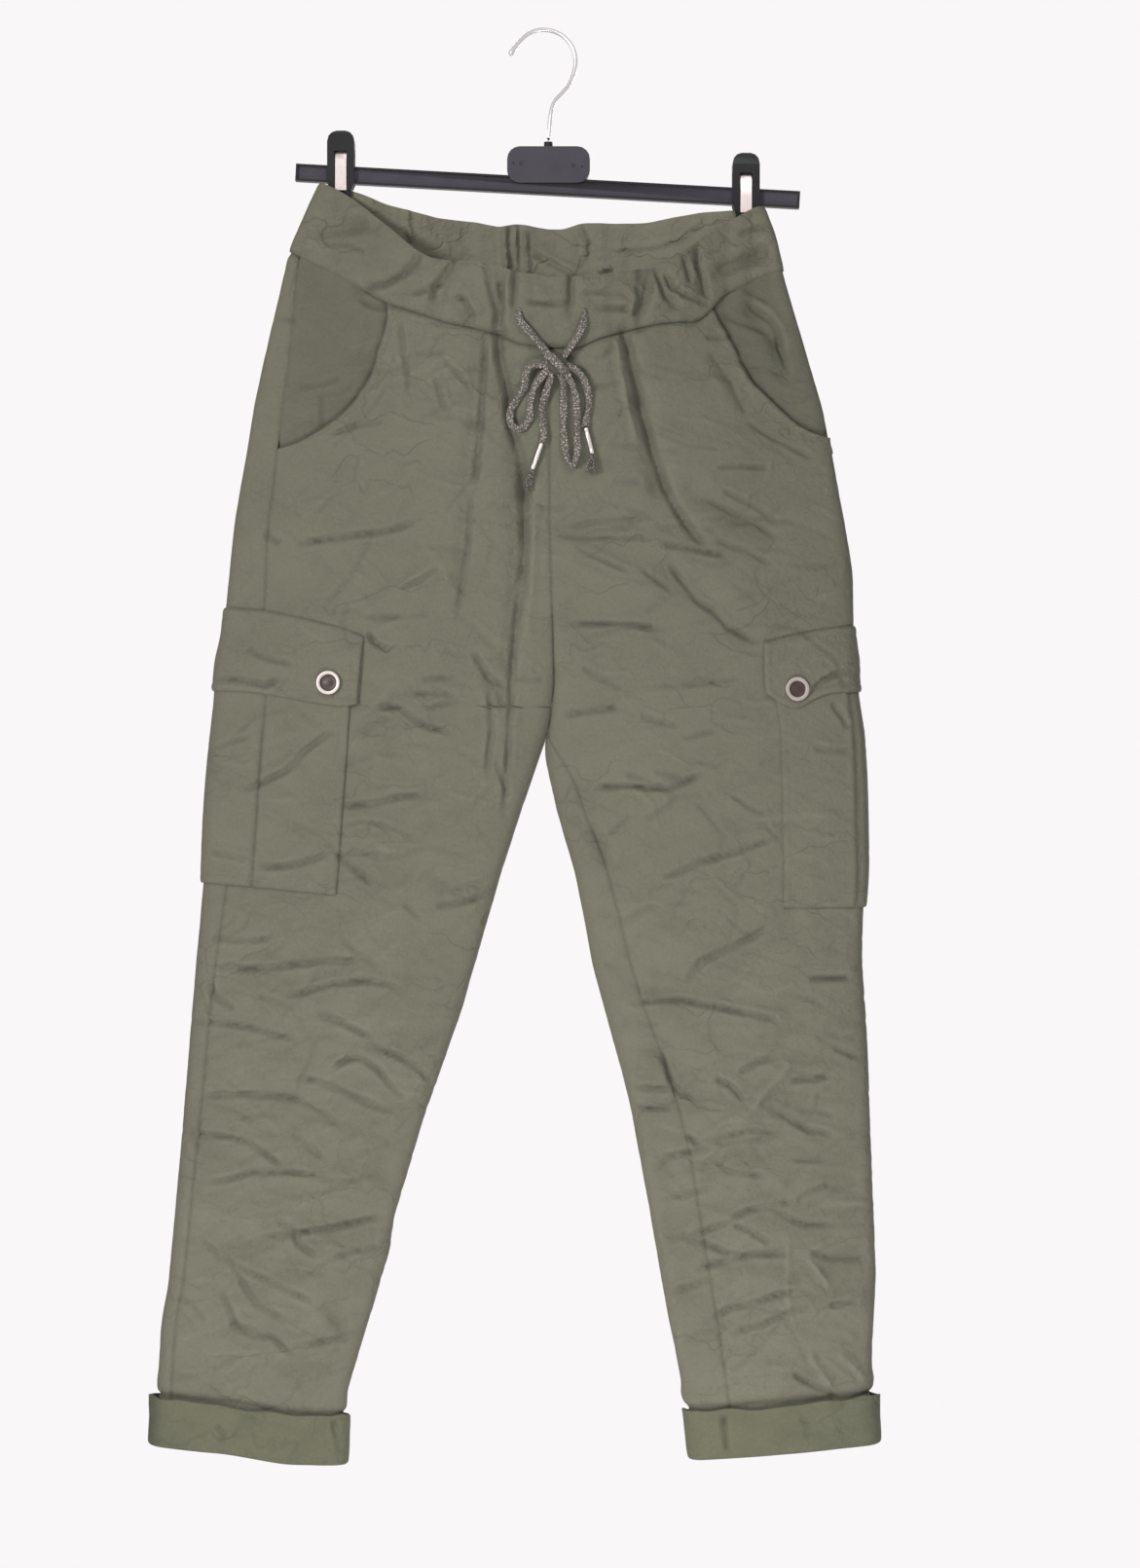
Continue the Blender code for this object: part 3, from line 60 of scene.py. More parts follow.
def add_camera():
    data = bpy.data.cameras.new("camera")
    data.sensor_fit = "AUTO"
    data.sensor_width = SENSOR
    data.lens = SENSOR * abs(VIEW_POINT[1]) / FRAME_HEIGHT
    data.clip_start = 0.1
    data.clip_end = 20.0
    camera = bpy.data.objects.new("camera", data)
    camera.location = VIEW_POINT
    camera.rotation_euler = (math.radians(90.0), 0.0, 0.0)
    bpy.context.scene.collection.objects.link(camera)
    bpy.context.scene.camera = camera


add_camera()

# ---------------------------------------------------------------- sizes of the cloth

SEAM_GAP = 0.04
CLOTH = 1.3
BAND_CLOTH = 2.0
BAND_LIFT = 0.8
BAND_MIDDLE = -150.0
LAY_GAP = 0.65
FOLD_LENGTH = 9.0
TURN_STEP = 0.02
HEIGHT_STEP = 1.0

TOP_LEVEL = -190.0
LEVEL_FLAT = -405.0
HEM_LEVEL = -1004.0
HEM_TILT_FROM = -850.0
MOUTH_LEVEL = -314.0

OUTER_FOLDS = {
    # side: (z, x)
    -1: (
        (-106, -157), (-118, -164), (-157, -181), (-260, -205),
        (-352, -220.5), (-464, -232), (-605, -242.5), (-820, -261),
        (-894, -267.5), (-921, -273), (-972, -275.5), (-1045, -280),
    ),
    1: (
        (-106, 151), (-123, 156), (-142, 164.5), (-173, 171.5),
        (-275, 201.5), (-352, 215.5), (-386, 221), (-464, 222),
        (-503, 227), (-600, 229.5), (-663, 227.5), (-719, 231.5),
        (-885, 237.5), (-961, 234), (-1045, 239),
    ),
}
CENTRE_SEAM = ((-352, 5), (-464, 8), (-492, 5), (-508, 1))
INNER_FOLDS = {
    # side: (z, x)
    -1: CENTRE_SEAM + (
        (-519, -3), (-600, -30), (-698, -58), (-775, -85),
        (-845, -106), (-870, -109.5), (-972, -140), (-1045, -142),
    ),
    1: CENTRE_SEAM + (
        (-519, 1.5), (-556, 9.5), (-600, 22.5), (-666, 35),
        (-746, 57), (-766, 62), (-921, 90), (-981, 102), (-1045, 108),
    ),
}
DEPTH = (
    # z, middle y, front bulge, rear bulge, fold half thickness, bulge power, centre open
    (-106, -4.8, 40, 18, 5, 3, 1),
    (-140, -4.8, 43, 19, 5, 3, 1),
    (-200, -3.5, 40, 20, 5.2, 2, 1),
    (-260, -1.5, 33, 22, 5.5, 1.3, 1),
    (-330, 0, 27, 24, 6, 1, 1),
    (-400, 0, 23, 24, 6, 0.9, 1),
    (-430, 0, 21, 24, 6, 0.8, 0.84),
    (-460, 0, 19, 23, 6, 0.7, 0.5),
    (-488, 0, 17, 22, 6, 0.65, 0.16),
    (-504, 0, 16, 21, 6, 0.65, 0),
    (-600, 0, 14, 18, 6, 0.65, 0),
    (-750, 0, 12, 13, 6, 0.65, 0),
    (-900, 0, 9, 10, 6, 0.65, 0),
    (-1045, 0, 8, 8, 6, 0.65, 0),
)
SEAMS = (
    # z, right side seam, left side seam, right inseam, left inseam
    (-106, 6, 0, 0, 0),
    (-166, 9, 0, 0, 0),
    (-248, 19.5, 0, 0, 0),
    (-304, 22.5, 0, 0, 0),
    (-325, 24, -7, 0, 0),
    (-352, 25, -17, 0, 0),
    (-409, 28, -17, 0, 0),
    (-506, 24, -17, 0, 0),
    (-516, 23.5, -17, -1, 11),
    (-536, 22, -17, -4, 17),
    (-571, 19.5, -17, -8, 21),
    (-623, 17, -17, -10, 25),
    (-680, 14, -17, -12, 28),
    (-797, 12, -17, -12, 36),
    (-925, 10.6, -16, -12, 34),
    (-1045, 10, -15, -12, 27),
)
FRONT_EDGES = (
    # x, free edge z, seam z
    (-190, -108.6, -156),
    (-181, -108.6, -157),
    (-166, -108.6, -166),
    (-157, -109, -170.5),
    (-145, -115, -176.5),
    (-138, -119, -181),
    (-127, -127, -187),
    (-117, -136, -193),
    (-108, -143, -198),
    (-92, -158, -203.5),
    (-80, -166, -207.5),
    (-69, -168, -212),
    (-49, -170, -216.5),
    (-31, -174, -222),
    (-17, -179, -228),
    (5, -181, -231),
    (25, -181.5, -231),
    (40, -180, -224),
    (58, -176.5, -219),
    (72, -174, -215),
    (84, -171.5, -212.5),
    (97, -162, -211),
    (108, -153, -210.5),
    (118, -146, -203),
    (128, -139.5, -190),
    (142, -131, -184),
    (152, -125.6, -177.5),
    (170, -125.2, -171.5),
    (190, -125.2, -171.5),
)
REAR_EDGES = (
    # x, free edge z, seam z
    (-190, -108.6, -156),
    (-181, -108.6, -157),
    (-166, -108.6, -166),
    (-157, -109, -167),
    (-144, -111.5, -169),
    (-129, -116, -171.5),
    (-113, -122.5, -174),
    (-96, -126.5, -176.5),
    (-75, -131.5, -181.5),
    (-49, -133.5, -184.5),
    (-31, -137, -187),
    (-19, -134, -187.5),
    (3, -138, -188),
    (15, -138, -188),
    (28, -133.5, -187),
    (53, -134.5, -186),
    (74, -134.5, -185),
    (97, -131, -183),
    (113, -128.5, -181),
    (133, -127.5, -178),
    (144, -127.5, -178),
    (152, -125.6, -177.5),
    (170, -125.2, -171.5),
    (190, -125.2, -171.5),
)
HEMS = (
    # share of the way from inner to outer fold, right hem z, left hem z
    (0, -1017, -1013.5),
    (0.3, -1015, -1010),
    (0.6, -1007.5, -1006.5),
    (0.85, -1005, -1003.5),
    (1, -1003, -1002),
)
MOUTHS = {
    # side: (z, distance across the front from the centre seam)
    -1: (
        (-190, 118), (-205, 114.5), (-219, 117.5), (-230, 122), (-243, 125.5),
        (-254.5, 130.5), (-267, 140), (-276.5, 150), (-287.5, 166.5), (-294, 179),
        (-299, 192), (-303, 230),
    ),
    1: (
        (-190, 112), (-205, 117.4), (-213, 123), (-227, 130.5), (-237, 134.7),
        (-252, 143), (-267.5, 160), (-279.5, 173.5), (-287, 186), (-291.5, 199),
        (-294, 230),
    ),
}
MOUTH_OVERLAP = 9.0
MOUTH_STEP_IN = 28.0
FACING_GAP = 1.5

# pocket edges and pleat folds, by distance from the outer fold, more than 0 on the front
POCKETS = {
    -1: {"front": 97, "rear": -63, "pleats": (36, -6), "top": -461},
    1: {"front": 59, "rear": -101, "pleats": (-34, 6), "top": -461},
}
POCKET_BOTTOMS = (
    # distance from the outer fold, right z, left z
    (-110, -610, -624),
    (0, -607, -624.5),
    (45, -611, -625),
    (97, -616, -625),
)
POCKET_BELLY = 1.6
POCKET_CLOTH = 1.8
FLAP_EDGES = {
    -1: (
        # distance, top z, bottom z
        (-67, -416, -476),
        (-30, -412, -472),
        (0, -411, -470.5),
        (30, -413.5, -472.5),
        (60, -420, -477.5),
        (84, -426, -482),
        (97, -430, -482.5),
        (102, -434, -480),
    ),
    1: (
        # distance, top z, bottom z
        (-105, -426, -476),
        (-60, -422, -472),
        (0, -424, -471.5),
        (24, -427, -473),
        (34, -429, -478),
        (45, -431.5, -485.5),
        (56, -434, -482),
        (66, -437, -470),
    ),
}
CUFF_PROFILE = (
    # height over the hem, share of the stand-off, outer face, inner face
    (-0.8, 0, -CLOTH, 0),
    (-3.2, 0, -1, 0.6),
    (-5.2, 0.5, 0.6, 0.2),
    (-3.4, 1, 1.4, 0.1),
    (2, 1, 1.8, 0),
    (15, 1, 1.9, 0.1),
    (30, 1.25, 2, 0.2),
)
CUFF_STAND_OUTER = 3.2
CUFF_STAND_INNER = 1.0

# ---------------------------------------------------------------- the cloth's form

EDGE_SPREAD = 2.5
JOINED_WIDTH = 12.0
FORM_SPREAD = 6.0
HEM_SPREAD = 0.04


@functools.lru_cache(maxsize=None)
def softened(rows, column, spread):
    """One column of a table as a soft line: straight runs with rounded turns."""
    order = sorted(rows, key=lambda row: row[0])
    keys = np.array([row[0] for row in order])
    step = spread / 6.0
    reach = 24
    grid = np.arange(keys[0] - reach * step, keys[-1] + reach * step, step)
    values = np.interp(grid, keys, np.array([row[column] for row in order]))
    weights = np.exp(-0.5 * (np.arange(-reach, reach + 1) * step / spread) ** 2)
    padded = np.pad(values, reach, mode="edge")
    return grid, np.convolve(padded, weights / weights.sum(), "valid")


def read(rows, column, at, spread=FORM_SPREAD):
    grid, values = softened(rows, column, spread)
    return np.interp(at, grid, values)


def ease(share):
    share = np.clip(share, 0.0, 1.0)
    return share * share * (3.0 - 2.0 * share)


def hump(distance, width):
    """Round rise of 1 that fades over a width to both sides."""
    return np.exp(-(distance / width) ** 2)


def unit(ways):
    return ways / np.linalg.norm(ways, axis=-1, keepdims=True)


def run_along(points):
    """Length from the first of a row of points to each."""
    return np.concatenate([[0.0], np.cumsum(np.linalg.norm(np.diff(points, axis=0), axis=1))])


def at_marks(marks, run, points):
    return np.stack([np.interp(marks, run, points[:, axis]) for axis in range(3)], axis=-1)


def paired(turn, z):
    return np.broadcast_arrays(np.asarray(turn, float), np.asarray(z, float))


def is_front(turn):
    return ((turn >= 0.0) & (turn <= 1.0)) | (turn > 2.0)


def across_share(turn):
    """Share of the way across a leg from its inner to its outer fold."""
    return (1.0 - np.cos(math.pi * np.asarray(turn, float))) / 2.0


def inner_x(side, z):
    return read(INNER_FOLDS[side], 1, z, 3.0) + side * SEAM_GAP / 2.0


def outer_x(side, z):
    return read(OUTER_FOLDS[side], 1, z)


def ring_width(side, z):
    return np.abs(outer_x(side, z) - inner_x(side, z))


def fold_round(distance):
    share = np.clip(distance / FOLD_LENGTH, 0.0, 1.0)
    return np.sqrt(share * (2.0 - share))


def ring_point(side, turn, z):
    """Outer face of the cloth: turn 0 is the front centre or the inner fold, 1 the outer
    fold and 2 the rear centre."""
    turn, z = paired(turn, z)
    across = across_share(turn)
    width = ring_width(side, z)
    x = inner_x(side, z) + side * width * across
    on_front = is_front(turn)
    middle, front, rear, fold, power, centre = (read(DEPTH, i, z) for i in range(1, 7))
    bulge = np.where(on_front, front, rear)
    from_outer = width * (1.0 - across)
    from_inner = width * across
    leg = np.power(np.clip(4.0 * across * (1.0 - across), 0.0, 1.0), power)
    hip = np.power(np.clip(1.0 - across * across, 0.0, 1.0), power)
    depth = fold * fold_round(from_outer) * (centre + (1.0 - centre) * fold_round(from_inner))
    depth = depth + bulge * ((1.0 - centre) * leg + centre * hip)
    y = np.where(on_front, middle - depth, middle + depth)
    return np.stack([x, y, z], axis=-1)


def ring_normal(side, turn, z):
    turn, z = paired(turn, z)
    before = turn - TURN_STEP
    after = turn + TURN_STEP
    at_centre = read(DEPTH, 6, z) > 0.02
    before = np.where(at_centre & (turn < 1.0), np.maximum(before, 0.0), before)
    after = np.where(at_centre & (turn > 1.0), np.minimum(after, 2.0), after)
    along = ring_point(side, after, z) - ring_point(side, before, z)
    up = ring_point(side, turn, z + HEIGHT_STEP) - ring_point(side, turn, z - HEIGHT_STEP)
    normal = unit(np.cross(along, up) * side)
    from_inner = ring_width(side, z) * across_share(turn)
    joined = ease(read(DEPTH, 6, z) / 0.05) * (1.0 - ease(from_inner / JOINED_WIDTH))
    normal[..., 0] = normal[..., 0] * (1.0 - joined)
    return unit(normal)


def cloth_point(side, turn, z, lift):
    return ring_point(side, turn, z) + ring_normal(side, turn, z) * np.asarray(lift)[..., None]


def turn_across(side, distance, z):
    share = np.asarray(distance, float) / ring_width(side, z)
    inside = np.arccos(np.clip(1.0 - 2.0 * share, -1.0, 1.0)) / math.pi
    beyond = 2.0 - np.arccos(np.clip(1.0 - 2.0 * (2.0 - share), -1.0, 1.0)) / math.pi
    behind = -np.arccos(np.clip(1.0 + 2.0 * share, -1.0, 1.0)) / math.pi
    return np.where(share < 0.0, behind, np.where(share > 1.0, beyond, inside))


def turn_from_fold(side, distance, z):
    return turn_across(side, ring_width(side, z) - distance, z)


def fold_distance(side, turn, z):
    distance = ring_width(side, z) * (1.0 + np.cos(math.pi * turn)) / 2.0
    return np.where(turn <= 1.0, distance, -distance)


def gap_turn(side, turn, z):
    ahead = ring_point(side, turn + TURN_STEP, z)
    speed = np.linalg.norm(ahead - ring_point(side, turn, z), axis=-1) / TURN_STEP
    return SEAM_GAP / 2.0 / speed


def side_seam(side, z):
    return turn_from_fold(side, read(SEAMS, COLUMN[side], z), z)


def inseam(side, z):
    return turn_across(side, read(SEAMS, COLUMN[side] + 2, z), z)


def band_edges(side, turn, column):
    """Height of the waistband's free edge (1) or its seam (2)."""
    turn = np.asarray(turn, float)
    z = np.full(turn.shape, -160.0)
    for _ in range(4):
        x = ring_point(side, turn, z)[..., 0]
        z = np.where(turn <= 1.0, read(FRONT_EDGES, column, x, EDGE_SPREAD),
                     read(REAR_EDGES, column, x, EDGE_SPREAD))
    return z


def hem_height(side, across):
    return read(HEMS, COLUMN[side], across, HEM_SPREAD)


def row_height(side, turn, level):
    """Height of a row of the leg's grid, which runs from the waist seam to the hem."""
    top = ease((level - LEVEL_FLAT) / (TOP_LEVEL - LEVEL_FLAT))
    bottom = ease((HEM_TILT_FROM - level) / (HEM_TILT_FROM - HEM_LEVEL))
    seam = band_edges(side, turn, 2) - SEAM_GAP
    hem = hem_height(side, across_share(turn))
    return level + top * (seam - TOP_LEVEL) + bottom * (hem - HEM_LEVEL)


def mouth_turns(side, levels):
    """Turn where each row meets the hip pocket's mouth, found by halving."""
    low = np.full(levels.shape, 0.2)
    high = np.full(levels.shape, 1.4)
    for _ in range(30):
        middle = (low + high) / 2.0
        z = row_height(side, middle, levels)
        inside = middle < turn_across(side, read(MOUTHS[side], 1, z, EDGE_SPREAD), z)
        low = np.where(inside, middle, low)
        high = np.where(inside, high, middle)
    return low


def panel_ends(side, panel, levels):
    seam_turn = np.ones(levels.shape)
    for _ in range(4):
        seam_turn = side_seam(side, row_height(side, seam_turn, levels))
    z_seam = row_height(side, seam_turn, levels)
    z_inner = row_height(side, np.full(levels.shape, 0.0 if panel == "front" else 2.0), levels)
    inner_turn = inseam(side, z_inner)
    inner_gap = gap_turn(side, inner_turn, z_inner)
    side_gap = gap_turn(side, seam_turn, z_seam)
    if panel == "front":
        return inner_turn + inner_gap, seam_turn - side_gap
    return seam_turn + side_gap, 2.0 + inner_turn - inner_gap


# ---------------------------------------------------------------- folds and creases

# soft folds: each runs straight between two points; height below 0 is a trough
FRONT_FOLDS = (
    # x start, z start, x end, z end, half width, height
    (-31, -180, -31, -222, 5, -2.6),
    (-31, -222, -13, -330, 7, -3.6),
    (-13, -330, -22, -470, 7, -2.8),
    (-42, -222, -47, -285, 6, -2),
    (-47, -285, -58, -400, 7, -1.8),
    (59, -219, 69, -268, 7, -3.4),
    (69, -268, 83, -326, 7, -3),
    (83, -326, 108, -364, 8, -2.2),
    (149, -200, 168, -224, 6, -2),
    (168, -224, 172, -246, 6, -1.6),
    (20, -184, 20, -206, 4, -2),
    (72, -172, 70, -214, 5.5, -3.2),
    (-63, -168, -78, -200, 5, -2.6),
    (-60, -197, -51, -212, 4, -1.8),
    (84, -176, 93, -198, 5, -2.4),
    (110, -160, 113, -188, 5, -2.4),
    (-150, -142, -118, -140, 5, -1.6),
    (-129, -184, -92, -170, 6, -2.4),
    (124, -174, 158, -158, 5, -2),
    (-121, -411, -65, -383, 9, 2),
    (21, -357, 80, -349, 9, -1.8),
    (24, -372, 78, -398, 9, 2),
    (92, -383, 146, -432, 9, -2),
    (106, -330, 160, -358, 9, -2),
    (-128, -505, -75, -495, 9, 1.8),
    (-128, -552, -83, -546, 9, -2),
    (31, -540, 105, -533, 9, -1.8),
    (126, -600, 160, -578, 9, 1.8),
    (-223, -669, -127, -662, 10, -2.2),
    (-177, -693, -101, -680, 9, 2),
    (176, -632, 84, -682, 10, -2.4),
    (59, -691, 163, -703, 9, 2),
    (-208, -757, -113, -764, 10, -2.2),
    (83, -726, 109, -760, 9, -2),
    (174, -734, 144, -772, 9, 2),
    (-244, -790, -183, -811, 9, -2),
    (-182, -812, -130, -817, 9, 2),
    (90, -806, 160, -796, 9, -2),
    (-167, -856, -112, -846, 9, -2),
    (135, -846, 199, -821, 10, 2.2),
    (-220, -876, -155, -909, 9, 2),
    (151, -872, 230, -876, 9, -2),
    (-226, -916, -177, -946, 9, -2),
    (137, -909, 224, -905, 9, 1.8),
    (99, -935, 129, -913, 9, -1.8),
    (-177, -937, -140, -929, 9, 1.8),
)
REAR_FOLDS = (
    # x start, z start, x end, z end, half width, height
    (-27, -137, -27, -186, 3.5, -1.6),
    (-18, -134, -18, -186, 3.5, 1.5),
    (-4, -152, 30, -174, 5, 1.2),
    (40, -136, 42, -184, 6, -0.8),
    (66, -137, 64, -184, 6, 0.8),
    (-55, -135, -53, -182, 6, 0.8),
    (-80, -134, -77, -180, 6, -0.8),
    (90, -135, 87, -182, 6, -0.8),
    (-60, -190, -70, -300, 9, -2.6),
    (64, -190, 76, -310, 9, -2.6),
    (24, -200, 30, -300, 8, -2.2),
    (-24, -200, -30, -290, 8, 2.2),
    (-150, -380, -60, -420, 10, 2.4),
    (40, -430, 120, -390, 10, 2.4),
    (-150, -520, -60, -500, 10, -2.2),
    (40, -510, 110, -530, 10, -2.2),
    (-200, -660, -90, -690, 10, 2.2),
    (70, -690, 190, -660, 10, 2.2),
    (-210, -760, -120, -730, 10, -2.2),
    (90, -750, 190, -770, 10, -2.2),
    (-225, -850, -140, -870, 10, 2),
    (100, -880, 200, -850, 10, 2),
    (-240, -940, -170, -920, 10, -2),
    (120, -930, 200, -950, 10, -2),
)
